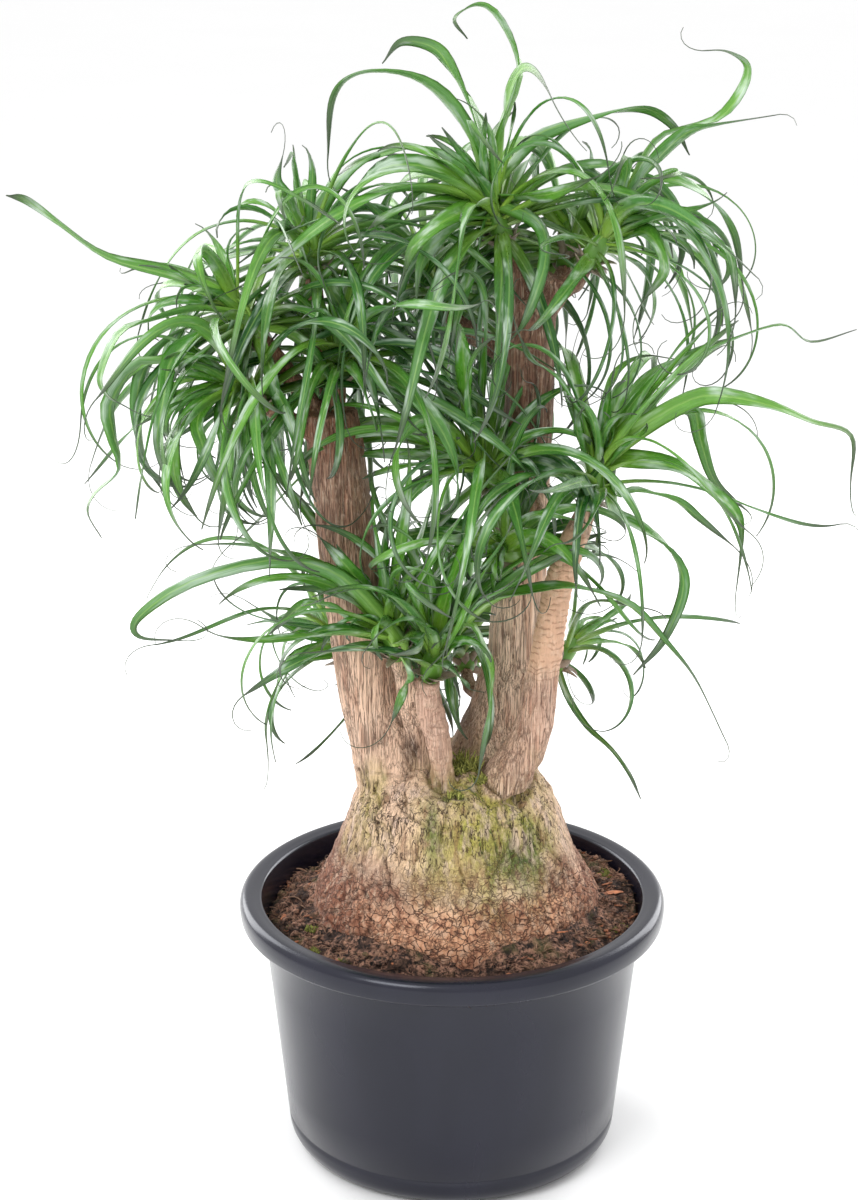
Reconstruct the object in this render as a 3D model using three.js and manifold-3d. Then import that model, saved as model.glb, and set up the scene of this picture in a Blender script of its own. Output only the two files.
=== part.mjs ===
// A potted ponytail palm: a swollen woody base with several trunks, heads of long strap leaves,
// a bed of soil and a tapered plastic pot. Millimetres, +Z up, origin at the centre of the pot's
// underside. +X is the plant's right as it is usually seen, and +Y points to its back.
import * as THREE from 'three';
import { mergeVertices } from 'three/addons/utils/BufferGeometryUtils.js';
import Module from 'manifold-3d';

const wasm = await Module();
wasm.setup();

// Driving dimensions of the pot
const RIM_RADIUS = 180;
const POT_HEIGHT = 226;
const LIP_DEPTH = 20;
const LIP_EDGE = 5;
const MOUTH_RADIUS = 161;
const BODY_TOP_RADIUS = 160.5;
const BODY_FOOT_RADIUS = 141;
const CORNER_RADIUS = 20;
const WALL = 3;
const FLOOR = 4;
const DRAIN_RADIUS = 6;
const DRAIN_CIRCLE = 75;
const DRAIN_COUNT = 4;
const POT_SIDES = 36;

// Driving dimensions of the soil and the swollen base
const GAP = 0.3;
const SOIL_EDGE_HEIGHT = 198;
const SOIL_MOUND_HEIGHT = 214;
const BASE_X = 1;
const BASE_FLATTEN = 0.96;
const BASE_SIDES = 24;
const BASE_PROFILE = [
  [120, 62],
  [135, 88],
  [160, 110],
  [185, 121],
  [205, 124],
  [228, 119],
  [255, 107],
  [285, 95],
  [315, 84],
  [335, 70],
  [348, 46],
];

// Every trunk and stem is a route of points with a radius: x, y, z, r
const TRUNK_SIDES = 11;
const STEM_SIDES = 7;
const TRUNKS = [
  // left trunk with a sawn top
  [[-34, 0, 290, 40], [-46, -3, 330, 36], [-56, -5, 364, 30], [-68, -5, 400, 26], [-80, -5, 486, 25],
    [-90, -5, 571, 24], [-95, -5, 618, 23], [-98, -5, 646, 21]],
  // main trunk, behind and to the right
  [[24, 14, 290, 46], [34, 20, 335, 40], [44, 24, 375, 32], [53, 25, 432, 25], [56, 25, 500, 22],
    [58, 25, 563, 21], [61, 25, 640, 21], [62, 25, 690, 20], [66, 26, 722, 17], [84, 29, 744, 13]],
  // slim right trunk in front of it
  [[30, -28, 300, 24], [43, -32, 336, 21], [58, -35, 365, 18], [67, -36, 392, 16], [74, -38, 443, 13.5],
    [79, -40, 481, 12], [86, -40, 520, 11.5], [94, -39, 546, 11]],
];
const STEMS = [
  // thin stem beside the left trunk
  [[-14, -18, 305, 15], [-22, -24, 345, 11], [-34, -34, 400, 9.5]],
  // short front stump
  [[-4, -40, 300, 17], [-7, -45, 345, 12], [-13, -47, 390, 11]],
  // left branch of the main trunk
  [[60, 25, 690, 16], [54, 25, 730, 12]],
  // old bud on the main trunk
  [[60, 14, 555, 9], [69, 2, 566, 7]],
];

// Leaf heads. The head's foot sits on the end of a side stem, which comes from the wood at from and is
// stem in radius. It points up and has that many free leaves, about reach long. Hang is how limp they
// are, lean how far the oldest lean out from up, in radians, low the height that none hangs below, and
// turn where the first one stands
const HEART_LENGTH = 34;
const HEART_RADIUS = 9;
const HEART_SIDES = 6;
const STEM_BEND = 16;
const HEADS = [
  {
    name: 'top', foot: [41, 25, 772], up: [-0.3, 0, 1], from: [54, 25, 728], stem: 9,
    leaves: 20, reach: 250, hang: 1, lean: 2.0, low: 640, turn: 0.3,
  },
  {
    name: 'top_right', foot: [104, 22, 756], up: [0.55, -0.1, 0.9], from: [80, 28, 735], stem: 8,
    leaves: 18, reach: 200, hang: 0.9, lean: 2.0, low: 660, turn: 1.1,
  },
  {
    name: 'top_right_back', foot: [90, 58, 748], up: [0.3, 0.7, 0.8], from: [76, 30, 722], stem: 8,
    leaves: 14, reach: 210, hang: 0.9, lean: 2.0, low: 640, turn: 2.0,
  },
  {
    name: 'left_high', foot: [-152, 2, 702], up: [-0.7, 0, 0.9], from: [-98, -2, 628], stem: 8,
    leaves: 15, reach: 230, hang: 1, lean: 2.0, low: 565, turn: 0.4,
  },
  {
    name: 'left_low', foot: [-146, -16, 652], up: [-0.8, -0.2, 0.6], from: [-98, -8, 618], stem: 8,
    leaves: 18, reach: 220, hang: 1.2, lean: 2.0, low: 545, turn: 0.9,
  },
  {
    name: 'left_top', foot: [-92, -6, 666], up: [0.1, -0.15, 1], from: [-96, -5, 630], stem: 8,
    leaves: 18, reach: 230, hang: 1, lean: 2.0, low: 565, turn: 1.7,
  },
  {
    name: 'left_back', foot: [-112, 34, 744], up: [-0.15, 0.25, 1], from: [-96, 6, 630], stem: 8,
    leaves: 16, reach: 220, hang: 1, lean: 2.0, low: 600, turn: 2.6,
  },
  {
    name: 'middle_back', foot: [-6, 62, 716], up: [-0.5, 0.5, 0.8], from: [58, 28, 672], stem: 8,
    leaves: 18, reach: 240, hang: 1, lean: 2.0, low: 560, turn: 0.2,
  },
  {
    name: 'middle', foot: [38, -8, 584], up: [-0.7, -0.35, 0.7], from: [57, 18, 556], stem: 8,
    leaves: 16, reach: 210, hang: 0.9, lean: 1.7, low: 490, turn: 0.8,
  },
  {
    name: 'middle_low', foot: [50, -16, 530], up: [-0.4, -0.8, 0.35], from: [57, 18, 520], stem: 8,
    leaves: 8, reach: 150, hang: 0.9, lean: 1.8, low: 470, turn: 1.4,
  },
  {
    name: 'right', foot: [106, -34, 574], up: [0.3, 0, 1], from: [93, -39, 544], stem: 10,
    leaves: 12, reach: 215, hang: 0.8, lean: 1.7, low: 500, turn: 2.2,
  },
  {
    name: 'front_left', foot: [-44, -47, 452], up: [-0.25, -0.3, 1], from: [-34, -34, 398], stem: 9,
    leaves: 13, reach: 180, hang: 0.4, lean: 1.2, low: 430, turn: 0.5,
  },
  {
    name: 'front_stump', foot: [-19, -49, 434], up: [0.15, -0.3, 1], from: [-13, -47, 388], stem: 11,
    leaves: 13, reach: 190, hang: 0.4, lean: 1.2, low: 425, turn: 1.3,
  },
  {
    name: 'low_left', foot: [-84, 40, 420], up: [-0.55, 0.6, 0.6], from: [-66, 6, 392], stem: 8,
    leaves: 11, reach: 180, hang: 1, lean: 2.0, low: 325, turn: 2.8,
  },
  {
    name: 'low_back', foot: [12, 74, 396], up: [-0.15, 0.8, 0.6], from: [42, 34, 374], stem: 8,
    leaves: 12, reach: 180, hang: 1, lean: 2.0, low: 310, turn: 0.1,
  },
  {
    name: 'low_right', foot: [86, 60, 404], up: [0.6, 0.5, 0.6], from: [52, 32, 384], stem: 8,
    leaves: 7, reach: 170, hang: 1, lean: 1.8, low: 330, turn: 0.7,
  },
];

// Leaves with a pose of their own, as points that the blade's middle passes through
const POSED_LEAVES = {
  left_high: [
    [[-170, 0, 735], [-220, -5, 755], [-270, -10, 770], [-305, -10, 795], [-330, -15, 815],
      [-345, -20, 820]],
    [[-170, 0, 725], [-200, -10, 730], [-230, -20, 725], [-260, -30, 715], [-275, -40, 685],
      [-270, -50, 670], [-250, -60, 660]],
    [[-175, 0, 720], [-200, -20, 710], [-220, -35, 695], [-225, -55, 670], [-230, -70, 635],
      [-220, -90, 605]],
    [[-175, 0, 720], [-215, 5, 710], [-245, 15, 680], [-255, 20, 650], [-255, 25, 620],
      [-250, 35, 590], [-235, 40, 560]],
  ],
  left_low: [
    [[-170, -20, 670], [-195, -30, 665], [-215, -40, 645], [-220, -50, 620], [-215, -60, 595],
      [-200, -70, 575]],
    [[-170, -20, 670], [-190, -35, 665], [-200, -50, 650], [-195, -70, 635], [-180, -85, 605],
      [-150, -100, 580]],
    [[-170, -20, 670], [-180, -45, 655], [-175, -70, 635], [-170, -95, 610], [-165, -120, 590]],
    [[-165, -20, 665], [-155, -45, 660], [-160, -70, 645], [-160, -95, 610]],
    [[-165, -20, 675], [-195, -20, 685], [-245, -25, 690], [-270, -30, 660], [-270, -30, 635],
      [-265, -30, 605], [-285, -35, 585], [-290, -40, 570], [-280, -40, 550]],
  ],
  front_left: [
    [[-40, -60, 465], [-70, -70, 510], [-100, -75, 535], [-145, -85, 545], [-205, -90, 530],
      [-245, -100, 505], [-245, -105, 490], [-210, -115, 490]],
    [[-35, -60, 445], [-40, -65, 430], [-50, -75, 405]],
    [[-50, -55, 510], [-55, -60, 550], [-50, -60, 580]],
    [[-65, -55, 505], [-85, -65, 535], [-105, -70, 560]],
    [[-75, -60, 485], [-100, -70, 505], [-120, -75, 505], [-145, -85, 485]],
  ],
  right: [
    [[115, -30, 610], [140, -30, 640], [160, -25, 660], [190, -25, 690], [210, -25, 705],
      [255, -25, 720], [280, -20, 705], [315, -20, 715]],
    [[115, -30, 610], [145, -40, 640], [185, -45, 665], [210, -55, 670], [245, -65, 665],
      [275, -75, 655], [305, -80, 645], [305, -90, 610]],
    [[120, -30, 610], [150, -45, 615], [175, -65, 615], [195, -80, 605], [215, -95, 590],
      [220, -115, 575], [215, -130, 535]],
    [[115, -30, 615], [155, -15, 640], [190, 0, 645], [200, 20, 615], [215, 35, 575], [245, 50, 545]],
    [[120, -30, 605], [130, -35, 585], [145, -40, 590], [175, -50, 585], [195, -55, 570],
      [220, -60, 550]],
    [[120, -30, 600], [125, -45, 575], [145, -55, 565], [170, -70, 550], [180, -85, 525],
      [165, -95, 485], [140, -110, 460]],
    [[115, -30, 610], [120, -35, 655], [125, -40, 690]],
    [[115, -30, 610], [105, -40, 640], [95, -45, 660], [80, -55, 685], [60, -60, 700], [50, -70, 720]],
  ],
  front_stump: [
    [[0, -60, 475], [30, -62, 505], [60, -66, 515], [85, -70, 520], [110, -80, 520], [140, -90, 510],
      [165, -100, 485], [190, -110, 455], [215, -120, 405]],
    [[-5, -55, 460], [15, -65, 500], [40, -75, 520], [65, -85, 540], [95, -95, 560]],
    [[-10, -50, 470], [-5, -60, 505], [10, -70, 540], [15, -80, 580]],
    [[-5, -55, 470], [10, -65, 515], [35, -80, 555], [50, -90, 590]],
    [[0, -60, 480], [15, -65, 485], [25, -70, 465], [30, -70, 450], [30, -75, 425], [25, -80, 395],
      [20, -85, 365]],
  ],
  low_right: [
    [[88, 62, 415], [98, 60, 380], [115, 50, 355], [135, 35, 340], [150, 30, 320], [160, 20, 300]],
  ],
  top: [
    [[30, 25, 815], [25, 20, 845], [15, 10, 880], [0, 0, 910], [-15, -5, 930], [-40, -10, 935],
      [-55, -20, 920]],
    [[30, 25, 815], [35, 25, 860], [50, 20, 905], [45, 20, 930], [30, 15, 955], [15, 15, 960],
      [0, 10, 950], [10, 10, 935]],
    [[25, 25, 815], [15, 30, 855], [-10, 35, 890], [-40, 40, 905], [-75, 40, 905], [-95, 45, 885],
      [-100, 50, 835]],
    [[30, 25, 815], [45, 35, 835], [65, 45, 855], [110, 50, 870], [150, 60, 875], [175, 70, 860],
      [190, 80, 835]],
    [[25, 25, 810], [-15, 15, 835], [-50, 0, 840], [-75, -10, 825], [-95, -20, 805], [-105, -35, 775],
      [-100, -45, 755]],
    [[25, 25, 815], [0, 45, 835], [-30, 60, 845], [-75, 80, 830], [-95, 100, 815]],
    [[25, 25, 805], [-15, -10, 815], [-50, -45, 810], [-65, -80, 805]],
    [[25, 25, 800], [0, -20, 805], [-30, -65, 790], [-40, -110, 770]],
    [[25, 25, 800], [-5, -15, 790], [-25, -55, 775], [-30, -95, 745]],
    [[25, 25, 795], [15, -5, 765], [5, -40, 740], [-5, -70, 700]],
    [[35, 25, 805], [65, 0, 795], [70, -25, 770], [55, -50, 730], [40, -75, 715]],
    [[35, 25, 810], [70, -20, 820], [105, -60, 840]],
  ],
  top_right: [
    [[125, 20, 780], [125, 10, 815], [130, 0, 845]],
    [[125, 20, 790], [145, 25, 835], [165, 30, 860], [205, 35, 870], [225, 45, 890], [230, 50, 910],
      [215, 55, 920], [195, 60, 920]],
    [[125, 20, 790], [145, 5, 830], [175, -10, 865], [200, -25, 875], [245, -40, 885]],
    [[125, 20, 785], [150, 5, 805], [170, -5, 805], [190, -20, 790], [210, -35, 780], [215, -45, 760],
      [215, -60, 740]],
    [[130, 20, 780], [150, -15, 790], [160, -55, 770], [140, -90, 750]],
    [[125, 20, 790], [160, 20, 825], [195, 20, 815], [220, 20, 785], [230, 20, 740]],
  ],
  left_back: [
    [[-115, 36, 780], [-130, 40, 805], [-140, 45, 820], [-135, 50, 840]],
    [[-115, 36, 780], [-95, 50, 815], [-65, 70, 835], [-40, 85, 835]],
  ],
  low_left: [
    [[-92, 45, 430], [-130, 50, 440], [-175, 60, 465]],
    [[-92, 45, 428], [-135, 30, 420], [-155, 20, 375], [-155, 15, 335]],
  ],
};

// Driving dimensions of the leaves
const LEAF_WIDTH = 14;
const KEEL_DEPTH = 2.4;
const TIP_WIDTH = 2.2;
const GROWTH_STEPS = 48;
const LONG_STATIONS = [0, 7, 17, 27, 36, 43, 48];
const SHORT_STATIONS = [0, 8, 21, 33, 42, 48];
const LONG_LEAF = 230;
const TRIES = 90;
const STRICT_TRIES = 60;
const SLIVER = 0.05;
const CLEARANCE = 0.5;
const GOLDEN_ANGLE = Math.PI * (3 - Math.sqrt(5));
const YOUNG_LEAN = 0.25;
const ROOT_SPREAD = 0.618;
const SEED = 7;

const DOWN = new THREE.Vector3(0, 0, -1);

// A repeatable random source: equal seeds give equal draws
function randomSource(seed) {
  let state = seed >>> 0;
  return () => {
    state = (state + 0x6d2b79f5) >>> 0;
    let mixed = Math.imul(state ^ (state >>> 15), state | 1);
    mixed = (mixed + Math.imul(mixed ^ (mixed >>> 7), mixed | 61)) ^ mixed;
    return ((mixed ^ (mixed >>> 14)) >>> 0) / 4294967296;
  };
}

function vector(triple) {
  return new THREE.Vector3(triple[0], triple[1], triple[2]);
}

// A BufferGeometry from shared points and triangles
function geometryFrom(points, triangles) {
  const geometry = new THREE.BufferGeometry();
  const positions = new Float32Array(points.flatMap((p) => [p.x, p.y, p.z]));
  geometry.setAttribute('position', new THREE.BufferAttribute(positions, 3));
  geometry.setIndex(triangles.flat());
  return geometry;
}

function toManifold(geometry) {
  const bare = new THREE.BufferGeometry();
  bare.setAttribute('position', geometry.getAttribute('position').clone());
  if (geometry.index) bare.setIndex(geometry.index.clone());
  const merged = mergeVertices(bare, 1e-4);
  return new wasm.Manifold(new wasm.Mesh({
    numProp: 3,
    vertProperties: merged.getAttribute('position').array,
    triVerts: new Uint32Array(merged.index.array),
  }));
}

function fromManifold(solid) {
  const mesh = solid.getMesh();
  const geometry = new THREE.BufferGeometry();
  geometry.setAttribute('position', new THREE.BufferAttribute(new Float32Array(mesh.vertProperties), 3));
  geometry.setIndex(Array.from(mesh.triVerts));
  return geometry;
}

// A solid skin over rings of equal point count, closed at both ends
function loft(rings) {
  const sides = rings[0].length;
  const points = rings.flat();
  const triangles = [];
  for (let ring = 0; ring < rings.length - 1; ring += 1) {
    for (let side = 0; side < sides; side += 1) {
      const next = (side + 1) % sides;
      const a = ring * sides + side;
      const b = ring * sides + next;
      const c = a + sides;
      const d = b + sides;
      triangles.push([a, b, d], [a, d, c]);
    }
  }
  const lastRing = (rings.length - 1) * sides;
  for (let side = 1; side < sides - 1; side += 1) {
    triangles.push([0, side + 1, side]);
    triangles.push([lastRing, lastRing + side, lastRing + side + 1]);
  }
  return geometryFrom(points, triangles);
}

// A round solid along a route of points with radii
function branch(route, sides) {
  const centres = route.map(vector);
  const ahead = centres.map((p, i) => {
    const from = centres[Math.max(i - 1, 0)];
    const to = centres[Math.min(i + 1, centres.length - 1)];
    return to.clone().sub(from).normalize();
  });
  const rings = centres.map((centre, i) => {
    const across = new THREE.Vector3(0, 1, 0).cross(ahead[i]).normalize();
    const other = ahead[i].clone().cross(across);
    return Array.from({ length: sides }, (_, side) => {
      const angle = (2 * Math.PI * side) / sides;
      return centre.clone()
        .addScaledVector(across, route[i][3] * Math.cos(angle))
        .addScaledVector(other, route[i][3] * Math.sin(angle));
    });
  });
  return loft(rings);
}

// The pot: a tapered cup with a broad collar, a rounded foot corner and drain holes
function potGeometry() {
  const outline = [];
  const add = (radius, height) => outline.push(new THREE.Vector2(radius, height));
  add(0, 0);
  const cornerSteps = 3;
  for (let step = 0; step <= cornerSteps; step += 1) {
    const angle = (Math.PI / 2) * (step / cornerSteps);
    add(
      BODY_FOOT_RADIUS - CORNER_RADIUS * (1 - Math.sin(angle)),
      CORNER_RADIUS * (1 - Math.cos(angle)),
    );
  }
  add(BODY_TOP_RADIUS, POT_HEIGHT - LIP_DEPTH);
  add(RIM_RADIUS - 1, POT_HEIGHT - LIP_DEPTH);
  add(RIM_RADIUS, POT_HEIGHT - LIP_EDGE);
  add(RIM_RADIUS - LIP_EDGE, POT_HEIGHT);
  add(MOUTH_RADIUS + 1, POT_HEIGHT);
  add(BODY_TOP_RADIUS - WALL, POT_HEIGHT - LIP_DEPTH);
  add(BODY_FOOT_RADIUS - WALL, CORNER_RADIUS);
  add(BODY_FOOT_RADIUS - CORNER_RADIUS, FLOOR);
  add(0, FLOOR);
  const cup = new THREE.LatheGeometry(outline, POT_SIDES);
  cup.rotateX(Math.PI / 2);
  let solid = toManifold(cup);
  for (let hole = 0; hole < DRAIN_COUNT; hole += 1) {
    const angle = (2 * Math.PI * (hole + 0.5)) / DRAIN_COUNT;
    const drill = new THREE.CylinderGeometry(DRAIN_RADIUS, DRAIN_RADIUS, 4 * FLOOR, 10);
    drill.rotateX(Math.PI / 2);
    drill.translate(DRAIN_CIRCLE * Math.cos(angle), DRAIN_CIRCLE * Math.sin(angle), FLOOR);
    solid = solid.subtract(toManifold(drill));
  }
  return fromManifold(solid);
}

// The swollen base: rings with soft lobes; grow makes it larger all round for the hole that it stands in
function swollenBase(grow) {
  const rings = BASE_PROFILE.map(([height, radius], i) => {
    const drop = i === 0 ? grow : 0;
    return Array.from({ length: BASE_SIDES }, (_, side) => {
      const angle = (2 * Math.PI * side) / BASE_SIDES;
      const lobes = 1 + 0.02 * Math.cos(3 * angle + 0.6) + 0.015 * Math.cos(5 * angle + 2 + height / 60);
      const reach = radius * lobes + grow;
      return new THREE.Vector3(
        BASE_X + reach * Math.cos(angle),
        reach * BASE_FLATTEN * Math.sin(angle),
        height - drop,
      );
    });
  });
  return loft(rings);
}

// The woody body: the base with its trunks, stems and side stems grown together
function woodSolid() {
  let solid = toManifold(swollenBase(0));
  for (const route of TRUNKS) solid = solid.add(toManifold(branch(route, TRUNK_SIDES)));
  for (const route of STEMS) solid = solid.add(toManifold(branch(route, STEM_SIDES)));
  for (const head of HEADS) {
    const end = vector(head.foot);
    const bend = end.clone().addScaledVector(vector(head.up).normalize(), -STEM_BEND);
    const route = [
      [...head.from, head.stem + 1],
      [bend.x, bend.y, bend.z, head.stem],
      [end.x, end.y, end.z, head.stem - 1],
    ];
    solid = solid.add(toManifold(branch(route, STEM_SIDES)));
  }
  return solid;
}

// The soil: a bed that fills the pot, rising to a mound round the base, with a plain hole for it
function soilGeometry() {
  const gap = GAP + 0.2;
  const wallAt = (height) => {
    const share = (height - CORNER_RADIUS) / (POT_HEIGHT - LIP_DEPTH - CORNER_RADIUS);
    return BODY_FOOT_RADIUS + (BODY_TOP_RADIUS - BODY_FOOT_RADIUS) * share - WALL - gap;
  };
  const bottom = FLOOR + GAP;
  const outline = [
    [0, bottom],
    [BODY_FOOT_RADIUS - CORNER_RADIUS - gap, bottom],
    [wallAt(CORNER_RADIUS) - 0.5, CORNER_RADIUS + gap],
    [wallAt(SOIL_EDGE_HEIGHT), SOIL_EDGE_HEIGHT],
    [146, 203],
    [134, 209],
    [122, SOIL_MOUND_HEIGHT],
    [90, SOIL_MOUND_HEIGHT + 4],
    [0, SOIL_MOUND_HEIGHT + 4],
  ].map(([radius, height]) => new THREE.Vector2(radius, height));
  const bed = new THREE.LatheGeometry(outline, POT_SIDES);
  bed.rotateX(Math.PI / 2);
  return fromManifold(toManifold(bed).subtract(toManifold(swollenBase(GAP))));
}

// The line that a free leaf grows along: gravity bends it down, its tip curls, and it sways and twists
function grownLine(head, index, attempt) {
  const random = randomSource(SEED * 1000003 + head.seed * 7919 + index * 101 + attempt);
  const age = (index + 0.5) / head.leaves;
  const turn = head.turn + index * GOLDEN_ANGLE + (random() - 0.5) * (0.5 + 0.05 * attempt);
  const spread = (random() - 0.5) * (0.3 + 0.02 * attempt);
  const lean = YOUNG_LEAN + (head.lean - YOUNG_LEAN) * age ** 0.9 + spread;
  const prime = 0.7 + 0.45 * Math.sin(Math.PI * (0.2 + 0.7 * age));
  const length = head.reach * prime * (0.75 + 0.4 * random());
  const droop = head.hang * (1.5 + 2.6 * random());
  const curl = (random() - 0.35) * 5;
  const sway = (random() - 0.5) * 1.6;
  const twist = (random() - 0.5) * 1.6;
  const width = LEAF_WIDTH * (0.75 + 0.45 * random());
  const up = vector(head.up).normalize();
  const side = new THREE.Vector3(0, 1, 0).cross(up).normalize();
  const front = up.clone().cross(side);
  const out = side.multiplyScalar(Math.cos(turn)).addScaledVector(front, Math.sin(turn));
  const start = vector(head.foot).addScaledVector(up, HEART_LENGTH * (0.25 + 0.7 * (1 - age)));
  const ahead = up.clone().multiplyScalar(Math.cos(lean)).addScaledVector(out, Math.sin(lean));
  const across = up.clone().cross(out).normalize();
  const line = [];
  const step = length / GROWTH_STEPS;
  for (let i = 0; i <= GROWTH_STEPS; i += 1) {
    const share = i / GROWTH_STEPS;
    line.push({ point: start.clone(), across: across.clone(), ahead: ahead.clone() });
    const fall = DOWN.clone().addScaledVector(ahead, -DOWN.dot(ahead));
    const over = across.clone().cross(ahead);
    start.addScaledVector(ahead, step);
    ahead.addScaledVector(fall, (droop * (0.6 + 0.7 * share)) / GROWTH_STEPS)
      .addScaledVector(over, (curl * share ** 3) / GROWTH_STEPS * 4)
      .addScaledVector(across, sway / GROWTH_STEPS)
      .normalize();
    across.addScaledVector(ahead.clone().cross(across), twist / GROWTH_STEPS);
    across.addScaledVector(ahead, -across.dot(ahead)).normalize();
  }
  return { line, width, length };
}

// The line of a posed leaf: a smooth curve through its points, turned and tilted a little by each new try
function posedLine(head, index, attempt) {
  const random = randomSource(SEED * 2000003 + head.seed * 7919 + index * 101 + attempt);
  const turn = (random() - 0.5) * 0.03 * attempt;
  const tilt = (random() - 0.5) * 0.015 * attempt;
  const width = LEAF_WIDTH * (0.9 + 0.35 * random());
  const twist = (random() - 0.5) * 1.2;
  const rise = HEART_LENGTH * (0.3 + 0.6 * ((index * ROOT_SPREAD) % 1));
  const heart = vector(head.foot).addScaledVector(vector(head.up).normalize(), rise);
  const points = [heart, ...POSED_LEAVES[head.name][index].map(vector)].map((p, i) => {
    const arm = p.clone().sub(heart);
    arm.applyAxisAngle(new THREE.Vector3(0, 0, 1), turn);
    arm.z += tilt * Math.hypot(arm.x, arm.y);
    return i === 0 ? heart.clone() : arm.add(heart);
  });
  const spots = Array.from({ length: GROWTH_STEPS + 1 }, (_, i) => smoothPoint(points, i / GROWTH_STEPS));
  const across = new THREE.Vector3();
  let length = 0;
  const line = spots.map((point, i) => {
    const ahead = spots[Math.min(i + 1, GROWTH_STEPS)].clone().sub(spots[Math.max(i - 1, 0)]).normalize();
    if (i === 0) across.crossVectors(new THREE.Vector3(0, 0, 1), ahead).normalize();
    else length += point.distanceTo(spots[i - 1]);
    across.addScaledVector(ahead.clone().cross(across), twist / GROWTH_STEPS);
    across.addScaledVector(ahead, -across.dot(ahead)).normalize();
    return { point, across: across.clone(), ahead };
  });
  return { line, width, length };
}

// A point at a share of the way along a smooth curve through all points
function smoothPoint(points, share) {
  const place = share * (points.length - 1);
  const index = Math.min(Math.floor(place), points.length - 2);
  const t = place - index;
  const p1 = points[index];
  const p2 = points[index + 1];
  const p0 = index > 0 ? points[index - 1] : p1.clone().multiplyScalar(2).sub(p2);
  const p3 = index + 2 < points.length ? points[index + 2] : p2.clone().multiplyScalar(2).sub(p1);
  const point = new THREE.Vector3();
  point.addScaledVector(p0, 0.5 * (-t + 2 * t * t - t * t * t));
  point.addScaledVector(p1, 0.5 * (2 - 5 * t * t + 3 * t * t * t));
  point.addScaledVector(p2, 0.5 * (t + 4 * t * t - 3 * t * t * t));
  point.addScaledVector(p3, 0.5 * (-t * t + t * t * t));
  return point;
}

// The blade's width at a share of its length
function widthAt(share, width) {
  const closing = Math.min(1, (1 - share) / 0.75);
  return TIP_WIDTH + (width - TIP_WIDTH) * Math.sin((Math.PI / 2) * closing);
}

// A keeled blade: a point deep in the heart, two edges and a keel at each station, and a point at the tip
function bladeGeometry(leaf, swell) {
  const points = [];
  const triangles = [];
  const stations = leaf.length > LONG_LEAF ? LONG_STATIONS : SHORT_STATIONS;
  const last = stations.length - 1;
  stations.forEach((step, i) => {
    const { point, across, ahead } = leaf.line[step];
    if (i === 0 || i === last) {
      points.push(point.clone().addScaledVector(ahead, i === 0 ? -swell : swell));
      return;
    }
    const share = step / GROWTH_STEPS;
    const half = widthAt(share, leaf.width) / 2 + swell;
    const under = across.clone().cross(ahead);
    const depth = KEEL_DEPTH * (1 - 0.45 * share);
    points.push(point.clone().addScaledVector(across, half).addScaledVector(under, -swell));
    points.push(point.clone().addScaledVector(across, -half).addScaledVector(under, -swell));
    points.push(point.clone().addScaledVector(under, depth + swell));
  });
  const tip = points.length - 1;
  for (let side = 0; side < 3; side += 1) triangles.push([0, 1 + ((side + 1) % 3), 1 + side]);
  for (let side = 0; side < 3; side += 1) {
    const next = (side + 1) % 3;
    for (let ring = 1; ring + 3 < tip; ring += 3) {
      const a = ring + side;
      const b = ring + next;
      triangles.push([a, b, b + 3], [a, b + 3, a + 3]);
    }
    triangles.push([tip - 3 + side, tip - 3 + next, tip]);
  }
  return geometryFrom(points, triangles);
}

// The heart of a head: a short tapered stem on the end of its branch, from which all leaves spring
function heartGeometry(head) {
  const up = vector(head.up).normalize();
  const side = new THREE.Vector3(0, 1, 0).cross(up).normalize();
  const front = up.clone().cross(side);
  const profile = [[GAP, 0.85], [0.7 * HEART_LENGTH, 1], [HEART_LENGTH, 0.45]];
  const rings = profile.map(([height, share]) => Array.from({ length: HEART_SIDES }, (_, i) => {
    const angle = (2 * Math.PI * i) / HEART_SIDES;
    return vector(head.foot)
      .addScaledVector(up, height)
      .addScaledVector(side, share * HEART_RADIUS * Math.cos(angle))
      .addScaledVector(front, share * HEART_RADIUS * Math.sin(angle));
  }));
  return loft(rings);
}

// The corners of a geometry's triangles, nine numbers each, with a box round each and round them all
function soup(geometry, fromTriangle = 0) {
  const position = geometry.getAttribute('position').array;
  const index = geometry.index.array;
  const count = index.length / 3 - fromTriangle;
  const corners = new Float64Array(count * 9);
  const boxes = new Float64Array(count * 6);
  const whole = [Infinity, Infinity, Infinity, -Infinity, -Infinity, -Infinity];
  for (let t = 0; t < count; t += 1) {
    for (let axis = 0; axis < 3; axis += 1) {
      let low = Infinity;
      let high = -Infinity;
      for (let corner = 0; corner < 3; corner += 1) {
        const value = position[3 * index[3 * (t + fromTriangle) + corner] + axis];
        corners[9 * t + 3 * corner + axis] = value;
        low = Math.min(low, value);
        high = Math.max(high, value);
      }
      boxes[6 * t + axis] = low;
      boxes[6 * t + 3 + axis] = high;
      whole[axis] = Math.min(whole[axis], low);
      whole[3 + axis] = Math.max(whole[3 + axis], high);
    }
  }
  return { count, corners, boxes, whole };
}

function boxesMeet(a, i, b, j) {
  return a[i] <= b[j + 3] && b[j] <= a[i + 3]
    && a[i + 1] <= b[j + 4] && b[j + 1] <= a[i + 4]
    && a[i + 2] <= b[j + 5] && b[j + 2] <= a[i + 5];
}

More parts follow.
